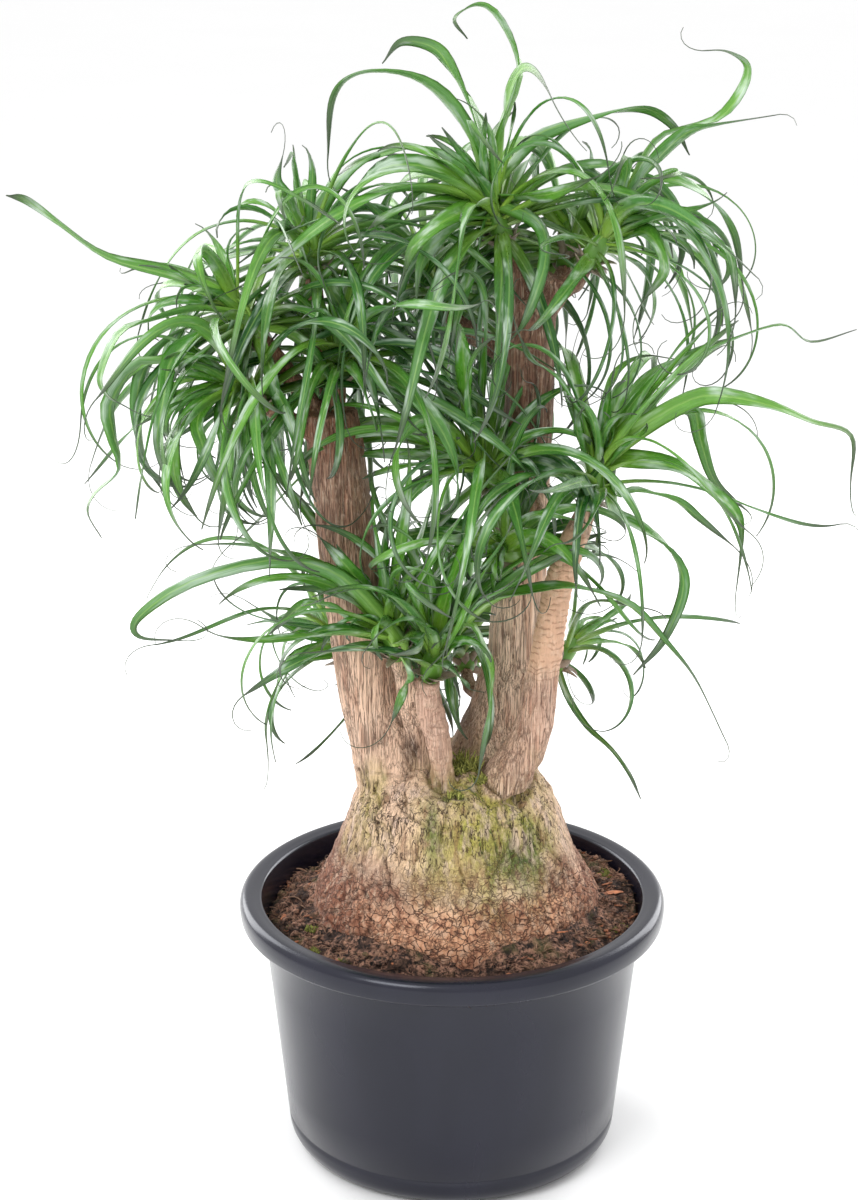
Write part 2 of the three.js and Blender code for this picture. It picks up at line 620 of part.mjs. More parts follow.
// Whether the edge between two corners of one triangle passes through another triangle
function edgeCrosses(a, from, to, b, t) {
  const ox = a[from];
  const oy = a[from + 1];
  const oz = a[from + 2];
  const dx = a[to] - ox;
  const dy = a[to + 1] - oy;
  const dz = a[to + 2] - oz;
  const ux = b[t + 3] - b[t];
  const uy = b[t + 4] - b[t + 1];
  const uz = b[t + 5] - b[t + 2];
  const vx = b[t + 6] - b[t];
  const vy = b[t + 7] - b[t + 1];
  const vz = b[t + 8] - b[t + 2];
  const px = dy * vz - dz * vy;
  const py = dz * vx - dx * vz;
  const pz = dx * vy - dy * vx;
  const det = ux * px + uy * py + uz * pz;
  if (Math.abs(det) < 1e-12) return false;
  const sx = ox - b[t];
  const sy = oy - b[t + 1];
  const sz = oz - b[t + 2];
  const u = (sx * px + sy * py + sz * pz) / det;
  if (u < 0 || u > 1) return false;
  const qx = sy * uz - sz * uy;
  const qy = sz * ux - sx * uz;
  const qz = sx * uy - sy * ux;
  const v = (dx * qx + dy * qy + dz * qz) / det;
  if (v < 0 || u + v > 1) return false;
  const along = (vx * qx + vy * qy + vz * qz) / det;
  return along >= 0 && along <= 1;
}

function crosses(a, b) {
  if (!boxesMeet(a.whole, 0, b.whole, 0)) return false;
  for (let i = 0; i < a.count; i += 1) {
    if (!boxesMeet(a.boxes, 6 * i, b.whole, 0)) continue;
    for (let j = 0; j < b.count; j += 1) {
      if (!boxesMeet(a.boxes, 6 * i, b.boxes, 6 * j)) continue;
      for (let edge = 0; edge < 3; edge += 1) {
        const from = 3 * edge;
        const to = 3 * ((edge + 1) % 3);
        if (edgeCrosses(a.corners, 9 * i + from, 9 * i + to, b.corners, 9 * j)) return true;
        if (edgeCrosses(b.corners, 9 * j + from, 9 * j + to, a.corners, 9 * i)) return true;
      }
    }
  }
  return false;
}

// Free leaves keep to the crown's outline as seen from the front and a little above, and to its depth,
// and they leave the trunks bare in front in a few windows
const CROWN_OUTLINE = [
  [-30, 885], [30, 897], [105, 898], [215, 885], [258, 820], [262, 722], [328, 690], [340, 600],
  [258, 475], [205, 425], [130, 370], [25, 335], [-150, 335], [-190, 400], [-275, 440], [-312, 520],
  [-305, 665], [-262, 770], [-145, 848], [-90, 862],
];
const CROWN_MIDDLE_Y = 15;
const CROWN_HALF_DEPTH = 235;
const CROWN_HALF_WIDTH = 350;
const SIGHT_SLOPE = 0.34;
const BARE_WINDOWS = [
  { left: -125, right: -50, bottom: 530, top: 640 },
  { left: -125, right: -50, bottom: 0, top: 425 },
  { left: -50, right: 36, bottom: 0, top: 425 },
  { left: 36, right: 106, bottom: 0, top: 480 },
  { left: 40, right: 92, bottom: 610, top: 730 },
];

function insideOutline(x, z) {
  let inside = false;
  CROWN_OUTLINE.forEach(([ax, az], i) => {
    const [bx, bz] = CROWN_OUTLINE[(i + 1) % CROWN_OUTLINE.length];
    if ((az > z) !== (bz > z) && x < ax + ((z - az) / (bz - az)) * (bx - ax)) inside = !inside;
  });
  return inside;
}

function insideCrown(head, leaf) {
  return leaf.line.every(({ point }) => {
    const deep = (point.y - CROWN_MIDDLE_Y) / CROWN_HALF_DEPTH;
    const wide = point.x / CROWN_HALF_WIDTH;
    const seen = point.z + SIGHT_SLOPE * point.y;
    const bare = point.y < 0 && BARE_WINDOWS.some((window) => point.x > window.left
      && point.x < window.right && seen > window.bottom && seen < window.top);
    return point.z > head.low && insideOutline(point.x, seen) && deep * deep + wide * wide < 1 && !bare;
  });
}

// The root triangles of a blade, which come first, may touch those of its own head
const ROOT_TRIANGLES = 3;

// Tries a leaf until it is clear of everything else and of its own head's leaves. A posed leaf that finds
// no such place may cross its own head's leaves, and a free leaf is left out
function placeLeaf(head, makeLine, index, others, posed) {
  for (let attempt = 0; attempt < TRIES; attempt += 1) {
    const leaf = makeLine(head, index, attempt);
    if (!posed && !insideCrown(head, leaf)) continue;
    const swollen = bladeGeometry(leaf, CLEARANCE);
    const body = soup(swollen);
    if (others.some((other) => other.head !== head && crosses(body, other.soup))) continue;
    const outer = soup(swollen, ROOT_TRIANGLES);
    const siblings = others.filter((other) => other.head === head && other.outer);
    const crowded = siblings.some((other) => crosses(outer, other.outer));
    if (crowded && (!posed || attempt < STRICT_TRIES)) continue;
    const blade = bladeGeometry(leaf, 0);
    others.push({ head, soup: soup(blade), outer: soup(blade, ROOT_TRIANGLES) });
    head.blades.push(blade);
    return;
  }
}

// The one main body of a fused solid, with any sealed hollow filled and loose scraps dropped
function mainBody(solid) {
  const bodies = solid.simplify(SLIVER).decompose();
  return bodies.reduce((best, body) => (body.volume() > best.volume() ? body : best));
}

function part(name, geometry, colour, roughness) {
  const material = new THREE.MeshStandardMaterial({ color: colour, roughness, metalness: 0 });
  const mesh = new THREE.Mesh(geometry, material);
  mesh.name = name;
  return mesh;
}

const POT_COLOUR = 0x34383f;
const SOIL_COLOUR = 0x3d2a20;
const BARK_COLOUR = 0xa88468;
const LEAF_COLOUR = 0x4f8f3a;

const pot = potGeometry();
const soil = soilGeometry();
const wood = fromManifold(mainBody(woodSolid()));

const others = [pot, soil, wood].map((geometry) => ({ soup: soup(geometry) }));
HEADS.forEach((head, i) => {
  head.seed = i + 1;
  head.heart = heartGeometry(head);
  head.blades = [];
  others.push({ head, soup: soup(head.heart) });
});
for (const head of HEADS) {
  const posed = POSED_LEAVES[head.name] ?? [];
  posed.forEach((_, index) => placeLeaf(head, posedLine, index, others, true));
}
for (const head of HEADS) {
  for (let index = 0; index < head.leaves; index += 1) placeLeaf(head, grownLine, index, others, false);
}

const group = new THREE.Group();
group.add(part('pot', pot, POT_COLOUR, 0.42));
group.add(part('soil', soil, SOIL_COLOUR, 0.95));
group.add(part('caudex', wood, BARK_COLOUR, 0.85));
for (const head of HEADS) {
  const solid = head.blades.reduce((sum, blade) => sum.add(toManifold(blade)), toManifold(head.heart));
  group.add(part(`rosette_${head.name}`, fromManifold(mainBody(solid)), LEAF_COLOUR, 0.5));
}

export default group;
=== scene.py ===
import itertools
import math

import bmesh
import bpy
import numpy as np
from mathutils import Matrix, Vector
from mathutils.kdtree import KDTree


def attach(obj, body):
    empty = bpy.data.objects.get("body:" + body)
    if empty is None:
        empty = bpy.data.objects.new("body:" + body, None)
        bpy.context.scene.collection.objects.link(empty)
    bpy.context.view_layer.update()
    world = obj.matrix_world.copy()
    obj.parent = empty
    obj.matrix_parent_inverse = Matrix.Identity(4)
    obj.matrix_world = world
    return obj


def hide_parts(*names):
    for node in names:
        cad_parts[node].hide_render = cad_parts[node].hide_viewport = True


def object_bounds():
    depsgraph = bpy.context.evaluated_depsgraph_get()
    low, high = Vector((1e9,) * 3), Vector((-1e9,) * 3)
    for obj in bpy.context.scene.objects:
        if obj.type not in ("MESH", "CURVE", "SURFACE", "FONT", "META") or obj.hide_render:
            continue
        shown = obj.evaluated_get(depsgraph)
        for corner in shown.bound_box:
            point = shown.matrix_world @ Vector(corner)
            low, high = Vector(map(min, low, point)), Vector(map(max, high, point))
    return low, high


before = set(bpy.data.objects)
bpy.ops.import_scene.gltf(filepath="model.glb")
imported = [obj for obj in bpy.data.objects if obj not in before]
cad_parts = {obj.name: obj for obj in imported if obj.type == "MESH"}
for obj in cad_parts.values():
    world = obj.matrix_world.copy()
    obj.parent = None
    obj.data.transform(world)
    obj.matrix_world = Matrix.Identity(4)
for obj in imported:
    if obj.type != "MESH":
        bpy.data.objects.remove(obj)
cad_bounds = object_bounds()

# All shapes are worked out in millimetres, and new_mesh turns them into metres
MM = 0.001
low_corner, high_corner = (np.array(corner) / MM for corner in cad_bounds)
MASK = 0xFFFFFFFF

# Pot
RIM_RADIUS = 180
POT_HEIGHT = 226
LIP_BOTTOM = 206
MOUTH_RADIUS = 161
BODY_TOP_RADIUS = 160.5
BODY_FOOT_RADIUS = 141
CORNER_RADIUS = 20
FOOT_FLAT = BODY_FOOT_RADIUS - CORNER_RADIUS
WALL = 3
FLOOR = 4
DRAIN_RADIUS = 6
DRAIN_CIRCLE = 75
DRAIN_COUNT = 4

# Swollen base, as height and radius
BASE_X = 1
BASE_FLATTEN = 0.96
BASE_PROFILE = [
    (120, 62), (135, 88), (160, 110), (185, 121), (205, 124), (228, 119),
    (255, 107), (285, 95), (315, 84), (335, 70), (348, 46),
]

# Routes of the slim right trunk, with its ring scars, and of the short front stump: x, y, z, radius
RINGED_TRUNK = [
    (30, -28, 300, 24), (43, -32, 336, 21), (58, -35, 365, 18), (67, -36, 392, 16), (74, -38, 443, 13.5),
    (79, -40, 481, 12), (86, -40, 520, 11.5), (94, -39, 546, 11),
]
FRONT_STUMP = [(-4, -40, 300, 17), (-7, -45, 345, 12), (-13, -47, 390, 11), (-19, -49, 434, 11)]
# Long upright splits in the front of the base: x, top and bottom
SPLITS = [
    (-8, 334, 282), (-3, 342, 314), (16, 318, 298), (22, 328, 294), (39, 324, 266), (59, 332, 304),
    (49, 302, 270), (-38, 350, 324), (-62, 342, 294), (-30, 308, 274), (-48, 322, 298), (8, 298, 270),
    (73, 318, 284), (-52, 290, 262), (-20, 330, 306), (30, 300, 276),
]
# The little cubes that the bark's skin is made from, and its most triangles
BARK_VOXEL = 1.75
MOST_TRIANGLES = 190000

# The soil bed and the loose matter on it
BED_SIDES = 320
BED_STEPS = 24
BED_RADIUS = 157
SOIL_GAP = 0.5
CRUMBS = 700
FIBRES = 1300
CHIPS = 91

# Leaves
HEART_LENGTH = 34
HEART_RADIUS = 9
DRIED_BASES = 9
YOUNG_LEAVES = 9
LEAF_WIDTH = 14
TIP_WIDTH = 2.2
POSED_WIDTH = 1.2
NARROW_WIDTH = 0.36
POSED_AGE = 0.35
THREAD_SHARE = 0.7
STEPS = 48
SHARES = np.arange(STEPS + 1) / STEPS
# The CAD model tries up to 90 poses of a leaf and keeps one that is clear of the other heads. That one's tip
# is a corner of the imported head, within this many metres
TRIES = np.arange(90)
SETTLED = 0.0002
# The points of a line that its blade keeps: fewer along the straight part than at the curled tip
LONG_BLADE = np.concatenate([np.arange(0, 32, 2), np.arange(32, STEPS + 1)])
SHORT_BLADE = np.arange(0, STEPS + 1, 3)
GOLDEN_ANGLE = math.pi * (3 - math.sqrt(5))
YOUNG_LEAN = 0.25
ROOT_SPREAD = 0.618
SEED = 7

# The camera, fitted to the photo: lens and sensor in millimetres, place in metres, tilt in degrees
LENS = 78
SENSOR = 36
CAMERA_PLACE = (-0.0195, -2.015, 1.164)
LOOKS_DOWN = 18.63

# Leaf heads: the name, the foot, the direction up, the number of grown leaves, their reach, how much they
# hang and lean, the turn of the first one, the least age of any leaf, which grown leaves are narrow, the
# numbers of the free leaves that the CAD model doesn't have, and for each posed leaf its points, x y z after
# x y z
HEAD_KEYS = ("name", "foot", "up", "leaves", "reach", "hang", "lean", "turn", "youngest", "narrow", "more")
HEAD_ROWS = (
    (
        "top", (41, 25, 772), (-0.3, 0, 1), 20, 250, 1, 2, 0.3, 0, "0 1 18",
        "8 9 32 50 112 120 144 153 200 279 419 438 442 443 481 499 507 514 522 655",
        "30 25 815  25 20 845  15 10 880  0 0 910  -15 -5 930  -40 -10 935  -55 -20 920",
        "30 25 815  35 25 860  50 20 905  45 20 930  30 15 955  15 15 960  0 10 950  10 10 935",
        "25 25 815  15 30 855  -10 35 890  -40 40 905  -75 40 905  -95 45 885  -100 50 835",
        "30 25 815  45 35 835  65 45 855  110 50 870  150 60 875  175 70 860  190 80 835",
        "25 25 810  -15 15 835  -50 0 840  -75 -10 825  -95 -20 805  -105 -35 775  -100 -45 755",
        "25 25 815  0 45 835  -30 60 845  -75 80 830  -95 100 815",
        "25 25 805  -15 -10 815  -50 -45 810  -65 -80 805",
        "25 25 800  0 -20 805  -30 -65 790  -40 -110 770",
        "25 25 800  -5 -15 790  -25 -55 775  -30 -95 745",
        "25 25 795  15 -5 765  5 -40 740  -5 -70 700",
        "35 25 805  65 0 795  70 -25 770  55 -50 730  40 -75 715",
        "35 25 810  70 -20 820  105 -60 840",
    ),
    (
        "top_right", (104, 22, 756), (0.55, -0.1, 0.9), 18, 200, 0.9, 2, 1.1, 0, "2 7 9 10 12 13 15 16 17",
        "10 92 158 184 254 261 286 378 396 414 453",
        "125 20 780  125 10 815  130 0 845",
        "125 20 790  145 25 835  165 30 860  205 35 870  225 45 890  230 50 910  215 55 920  "
        "195 60 920",
        "125 20 790  145 5 830  175 -10 865  200 -25 875  245 -40 885",
        "125 20 785  150 5 805  170 -5 805  190 -20 790  210 -35 780  215 -45 760  215 -60 740",
        "130 20 780  150 -15 790  160 -55 770  140 -90 750",
        "125 20 790  160 20 825  195 20 815  220 20 785  230 20 740",
    ),
    (
        "top_right_back", (90, 58, 748), (0.3, 0.7, 0.8), 14, 210, 0.9, 2, 2, 0, "4 7 9 12",
        "16 65 73 150 166 205 284 317 476 567",
    ),
    (
        "left_high", (-152, 2, 702), (-0.7, 0, 0.9), 15, 230, 1, 2, 0.4, 0, "0 1 3 4 5",
        "6 21 46 207 234 302 312 342 397 476 537 595 632 637 682",
        "-170 0 735  -220 -5 755  -270 -10 770  -305 -10 795  -330 -15 815  -345 -20 820",
        "-170 0 725  -200 -10 730  -230 -20 725  -260 -30 715  -275 -40 685  -270 -50 670  "
        "-250 -60 660",
        "-175 0 720  -200 -20 710  -220 -35 695  -225 -55 670  -230 -70 635  -220 -90 605",
        "-175 0 720  -215 5 710  -245 15 680  -255 20 650  -255 25 620  -250 35 590  -235 40 560",
    ),
    (
        "left_low", (-146, -16, 652), (-0.8, -0.2, 0.6), 18, 220, 1.2, 2, 0.9, 0, "0 3",
        "7 31 42 60 66 96 215 228 252 293 310 363 396 463 495 534 570 656 667 668",
        "-170 -20 670  -195 -30 665  -215 -40 645  -220 -50 620  -215 -60 595  -200 -70 575",
        "-170 -20 670  -190 -35 665  -200 -50 650  -195 -70 635  -180 -85 605  -150 -100 580",
        "-170 -20 670  -180 -45 655  -175 -70 635  -170 -95 610  -165 -120 590",
        "-165 -20 665  -155 -45 660  -160 -70 645  -160 -95 610",
        "-165 -20 675  -195 -20 685  -245 -25 690  -270 -30 660  -270 -30 635  -265 -30 605  "
        "-285 -35 585  -290 -40 570  -280 -40 550",
    ),
    (
        "left_top", (-92, -6, 666), (0.1, -0.15, 1), 18, 230, 1, 2, 1.7, 0, "",
        "38 48 63 71 95 107 123 129 181 229 240 288 379 399 412 467 503 534 550 572",
    ),
    (
        "left_back", (-112, 34, 744), (-0.15, 0.25, 1), 16, 220, 1, 2, 2.6, 0, "1 3 4 5",
        "14 50 87 135 137 289 324 330 349 363 369 453 500 538 631 667 670",
        "-115 36 780  -130 40 805  -140 45 820  -135 50 840",
        "-115 36 780  -95 50 815  -65 70 835  -40 85 835",
    ),
    (
        "middle_back", (-6, 62, 716), (-0.5, 0.5, 0.8), 18, 240, 1, 2, 0.2, 0, "",
        "16 37 115 123 126 251 311 328 423 532 538 555",
    ),
    (
        "middle", (38, -8, 584), (-0.7, -0.35, 0.7), 16, 210, 0.9, 1.7, 0.8, 0, "4 9 11",
        "11 39 43 79 163 180 216 229 242 323 324 367 401 407 427 470 503 509 529",
    ),
    (
        "middle_low", (50, -16, 530), (-0.4, -0.8, 0.35), 8, 150, 0.9, 1.8, 1.4, 0, "4",
        "76 190 219 230 260 279 503 506 559",
    ),
    (
        "right", (106, -34, 574), (0.3, 0, 1), 12, 215, 0.8, 1.7, 2.2, 0, "1 2 4 7 9",
        "25 26 70 113 135 199 340 349 373 377 380 429 433 452 483 490",
        "115 -30 610  140 -30 640  160 -25 660  190 -25 690  210 -25 705  255 -25 720  280 -20 705  "
        "315 -20 715",
        "115 -30 610  145 -40 640  185 -45 665  210 -55 670  245 -65 665  275 -75 655  305 -80 645  "
        "305 -90 610",
        "120 -30 610  150 -45 615  175 -65 615  195 -80 605  215 -95 590  220 -115 575  215 -130 535",
        "115 -30 615  155 -15 640  190 0 645  200 20 615  215 35 575  245 50 545",
        "120 -30 605  130 -35 585  145 -40 590  175 -50 585  195 -55 570  220 -60 550",
        "120 -30 600  125 -45 575  145 -55 565  170 -70 550  180 -85 525  165 -95 485  140 -110 460",
        "115 -30 610  120 -35 655  125 -40 690",
        "115 -30 610  105 -40 640  95 -45 660  80 -55 685  60 -60 700  50 -70 720",
    ),
    (
        "front_left", (-44, -47, 452), (-0.25, -0.3, 1), 13, 180, 0.4, 1.2, 0.5, 0, "4 9",
        "4 45 83 96 362 444",
        "-40 -60 465  -70 -70 510  -100 -75 535  -145 -85 545  -205 -90 530  -245 -100 505  "
        "-245 -105 490  -210 -115 490",
        "-35 -60 445  -40 -65 430  -50 -75 405",
        "-50 -55 510  -55 -60 550  -50 -60 580",
        "-65 -55 505  -85 -65 535  -105 -70 560",
        "-75 -60 485  -100 -70 505  -120 -75 505  -145 -85 485",
    ),
    (
        "front_stump", (-19, -49, 434), (0.15, -0.3, 1), 13, 190, 0.4, 1.2, 1.3, 0, "",
        "18 87 147 169 172 184 228 236 275 358 496 510",
        "0 -60 475  30 -62 505  60 -66 515  85 -70 520  110 -80 520  140 -90 510  165 -100 485  "
        "190 -110 455  215 -120 405",
        "-5 -55 460  15 -65 500  40 -75 520  65 -85 540  95 -95 560",
        "-10 -50 470  -5 -60 505  10 -70 540  15 -80 580",
        "-5 -55 470  10 -65 515  35 -80 555  50 -90 590",
        "0 -60 480  15 -65 485  25 -70 465  30 -70 450  30 -75 425  25 -80 395  20 -85 365",
    ),
    (
        "low_left", (-84, 40, 420), (-0.55, 0.6, 0.6), 11, 180, 1, 2, 2.8, 0, "0 1 3 5 6 8",
        "88 160 263 328 500 542",
        "-92 45 430  -130 50 440  -175 60 465",
        "-92 45 428  -135 30 420  -155 20 375  -155 15 335",
    ),
    (
        "low_back", (12, 74, 396), (-0.15, 0.8, 0.6), 12, 180, 1, 2, 0.1, 0, "",
        "239 313 489 515 555 580 603",
    ),
    (
        "low_right", (86, 60, 404), (0.6, 0.5, 0.6), 7, 170, 1, 1.8, 0.7, 0.75, "0 1 2 3 4 5 6",
        "179 221 307 413 427",
        "88 62 415  98 60 380  115 50 355  135 35 340  150 30 320  160 20 300",
    ),
)
HEADS = [
    dict(zip(HEAD_KEYS, row), seed=seed, posed=row[len(HEAD_KEYS):])
    for seed, row in enumerate(HEAD_ROWS, start=1)
]
# The posed leaves with a width of their own
POSED_WIDTHS = {("low_right", 0): 0.4, ("front_left", 0): 0.95}


def srgb(red, green, blue):
    """A colour given in 0 to 255 as the eye reads it, as linear numbers."""
    return tuple(
        c / 12.92 if c <= 0.04045 else ((c + 0.055) / 1.055) ** 2.4
        for c in (red / 255, green / 255, blue / 255)
    )


# Repeatable numbers


class Draws:
    """Repeatable draws, for one seed or for many at once."""

    def __init__(self, seeds):
        self.state = np.atleast_1d(np.asarray(seeds, dtype=np.uint64)) & MASK

    def next(self):
        """The next number of each seed, from 0 to 1."""
        state = self.state = (self.state + 0x6D2B79F5) & MASK
        mixed = ((state ^ (state >> 15)) * (state | 1)) & MASK
        extra = ((mixed ^ (mixed >> 7)) * (mixed | 61)) & MASK
        mixed = ((mixed + extra) ^ mixed) & MASK
        return (mixed ^ (mixed >> 14)).astype(float) / (MASK + 1)

    def one(self):
        return self.next()[0]

    def swing(self, width):
        """The next number of each seed, up to half that width above or below 0."""
        return (self.next() - 0.5) * width


def hashed(cells, seed):
    """A repeatable number from 0 to 1 for each cell of a grid."""
    key = (cells[..., 0] * 73856093) ^ (cells[..., 1] * 19349663) ^ (cells[..., 2] * 83492791)
    key = (key ^ (seed * 668265263)) & MASK
    for shift, factor in ((15, 0x2C1B3C6D), (12, 0x297A2D39), (15, 1)):
        key = ((key ^ (key >> shift)) * factor) & MASK
    return key / (MASK + 1)


def noise(points, size, seed, upright=1):
    """Smooth noise from -1 to 1 with lumps of about that size. Upright below 1 draws them out upwards."""
    scaled = points * (1, 1, upright) / size
    base = np.floor(scaled).astype(np.int64)
    part = scaled - base
    part = part * part * (3 - 2 * part)
    total = 0
    for corner in itertools.product((0, 1), repeat=3):
        x, y, z = np.where(corner, part, 1 - part).T
        total = total + x * y * z * hashed(base + corner, seed)
    return total * 2 - 1


def cells(points, size, seed):
    """How far each point is from the edge of its irregular cell of about that size, and the cell's number."""
    scaled = points / size
    base = np.floor(scaled).astype(np.int64)
    near = second = np.full(len(points), 9)
    number = 0
    for offset in itertools.product((-1, 0, 1), repeat=3):
        cell = base + offset
        centre = cell + np.stack([hashed(cell, seed + axis) for axis in range(3)], axis=-1)
        distance = np.linalg.norm(scaled - centre, axis=1)
        closer = distance < near
        second = np.where(closer, near, np.minimum(second, distance))
        number = np.where(closer, hashed(cell, seed + 3), number)
        near = np.minimum(near, distance)
    return second - near, number


def smooth(low, high, value):
    """0 below low, 1 above high and a smooth step between them."""
    share = np.clip((value - low) / (high - low), 0, 1)
    return share * share * (3 - 2 * share)


def unit(vectors):
    return vectors / np.maximum(np.linalg.norm(vectors, axis=-1, keepdims=True), 1e-12)


def dot(a, b):
    return np.sum(a * b, axis=-1, keepdims=True)


def around(sides):
    """Equal steps round a full turn."""
    return 2 * math.pi * np.arange(sides) / sides


# Pieces


def add_object(name, data):
    made = bpy.data.objects.new(name, data)
    bpy.context.scene.collection.objects.link(made)
    return made


def applied(piece):
    """The piece's mesh as its modifiers make it."""
    return bpy.data.meshes.new_from_object(piece.evaluated_get(bpy.context.evaluated_depsgraph_get()))


def new_mesh(name, points, faces):
    mesh = bpy.data.meshes.new(name)
    mesh.from_pydata((np.asarray(points) * MM).tolist(), [], [list(face) for face in faces])
    return mesh


def new_piece(name, points, faces, slot, material, nodes=(), values=None, is_smooth=True):
    """A piece from points in millimetres. Values are numbers for each point that its material reads."""
    mesh = new_mesh(name, points, faces)
    mesh.validate()
    for key, numbers in (values or {}).items():
        numbers = np.asarray(numbers, dtype=np.float32)
        if numbers.ndim == 1:
            mesh.attributes.new(key, "FLOAT", "POINT").data.foreach_set("value", numbers)
        else:
            colours = np.pad(numbers, ((0, 0), (0, 1)), constant_values=1)
            mesh.attributes.new(key, "FLOAT_COLOR", "POINT").data.foreach_set("color", colours.ravel())
    mesh.materials.append(material)
    mesh.polygons.foreach_set("use_smooth", [is_smooth] * len(mesh.polygons))
    piece = add_object(name, mesh)
    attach(piece, "root")
    if nodes:
        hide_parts(*nodes)
    return piece


class Shell:
    """Gathers closed shells into one piece, with numbers for their points."""

    def __init__(self):
        self.points = []
        self.faces = []
        self.values = {}
        self.count = 0

    def add(self, points, faces, **values):
        self.points.append(points)
        self.faces.extend([i + self.count for i in face] for face in faces)
        for key, value in values.items():
            self.values.setdefault(key, []).append(np.broadcast_to(value, len(points)))
        self.count += len(points)

    def tube(self, rings, turned=False, **values):
        """Adds a closed skin over rings of equal point count."""
        self.add(np.concatenate(rings), tube_faces(len(rings), len(rings[0]), turned), **values)

    def piece(self, name, slot, material, nodes=(), is_smooth=True):
        points = np.concatenate(self.points)
        values = {key: np.concatenate(parts) for key, parts in self.values.items()}
        return new_piece(name, points, self.faces, slot, material, nodes, values, is_smooth)


def tube_faces(rings, sides, turned=False):
    """Faces of a closed skin over rings of equal point count, turned inside out where that is asked."""
    faces = []
    for ring in range(rings - 1):
        for side in range(sides):
            a = ring * sides + side
            b = ring * sides + (side + 1) % sides
            faces.append((a, b, b + sides, a + sides))
    faces.append(tuple(range(sides - 1, -1, -1)))
    faces.append(tuple(range((rings - 1) * sides, rings * sides)))
    return [face[::-1] for face in faces] if turned else faces


def circle(middle, radius, side, other, sides):
    """The points of a ring round a middle, in the plane of two directions."""
    angle = around(sides)
    return middle + radius * (np.cos(angle)[:, None] * side + np.sin(angle)[:, None] * other)


# The lines that leaves grow along


class Lines:
    """
    One line or many, with the width of the leaf. Each step is a point with its directions ahead and across.
    Share runs from 0 at the root to 1 at the blade's tip, and on to 2 along a thread past the tip.
    """

    def __init__(self, steps, width, share):
        self.points, self.ahead, self.across = (np.stack(part, -2) for part in zip(*steps))
        self.width = width
        self.share = share

    def steps(self, kept=slice(None), which=...):
        """The line's steps, or those of one line among many."""
        return zip(*(part[which][kept] for part in (self.points, self.ahead, self.across)))

    def one(self, i, kept=slice(None)):
        """One line of many, through some of its points."""
        return Lines(self.steps(kept, i), float(self.width[i]), self.share[kept])


def head_axes(head):
    up = unit(np.array(head["up"], float))
    side = unit(np.cross([0, 1, 0], up))
    return up, side, np.cross(up, side)


def grow(head, draws, turn, lean, length, rise):
    """Free leaves: gravity bends them down, their tips curl, and they sway and twist."""
    droop = (head["hang"] * (1.5 + 2.6 * draws.next()))[:, None]
    curl = ((draws.next() - 0.35) * 5)[:, None]
    sway = draws.swing(1.6)[:, None]
    twist = draws.swing(1.6)[:, None]
    width = LEAF_WIDTH * (0.75 + 0.45 * draws.next())
    up, side, front = head_axes(head)
    turn, lean, length = (np.asarray(value)[:, None] for value in (turn, lean, length))
    out = side * np.cos(turn) + front * np.sin(turn)
    point = np.array(head["foot"], float) + up * np.asarray(rise)[..., None] + 0 * out
    ahead = up * np.cos(lean) + out * np.sin(lean)
    across = unit(np.cross(up, out))
    step = length / STEPS
    down = np.array([0, 0, -1])
    rows = []
    for share in SHARES.tolist():
        rows.append((point, ahead, across))
        fall = down - ahead * dot(ahead, down)
        over = np.cross(across, ahead)
        point = point + ahead * step
        ahead = ahead + fall * droop * (0.6 + 0.7 * share) / STEPS
        ahead = ahead + over * curl * share**3 / STEPS * 4
        ahead = unit(ahead + across * sway / STEPS)
        across = across + np.cross(ahead, across) * twist / STEPS
        across = unit(across - ahead * dot(across, ahead))
    return Lines(rows, width, SHARES)


def grown_lines(head, index):
    """The tries of one main free leaf: each turns and leans by a little more."""
    draws = Draws(SEED * 1000003 + head["seed"] * 7919 + index * 101 + TRIES)
    age = (index + 0.5) / head["leaves"]
    turn = head["turn"] + index * GOLDEN_ANGLE + draws.swing(0.5 + 0.05 * TRIES)
    spread = draws.swing(0.3 + 0.02 * TRIES)
    lean = YOUNG_LEAN + (head["lean"] - YOUNG_LEAN) * age**0.9 + spread
    prime = 0.7 + 0.45 * math.sin(math.pi * (0.2 + 0.7 * age))
    length = head["reach"] * prime * (0.75 + 0.4 * draws.next())
    return grow(head, draws, turn, lean, length, HEART_LENGTH * (0.25 + 0.7 * (1 - age)))


def smooth_points(points):
    """Points along a smooth curve through all of the given ones, for many curves at once."""
    last = points.shape[1] - 1
    before = 2 * points[:, :1] - points[:, 1:2]
    after = 2 * points[:, -1:] - points[:, -2:-1]
    padded = np.concatenate([before, points, after], axis=1)
    found = []
    for i in range(STEPS + 1):
        place = i / STEPS * last
        index = min(int(place), last - 1)
        t = place - index
        weights = (-t + 2 * t * t - t**3, 2 - 5 * t * t + 3 * t**3, t + 4 * t * t - 3 * t**3, -t * t + t**3)
        found.append(sum(padded[:, index + k] * 0.5 * weight for k, weight in enumerate(weights)))
    return np.stack(found, 1)


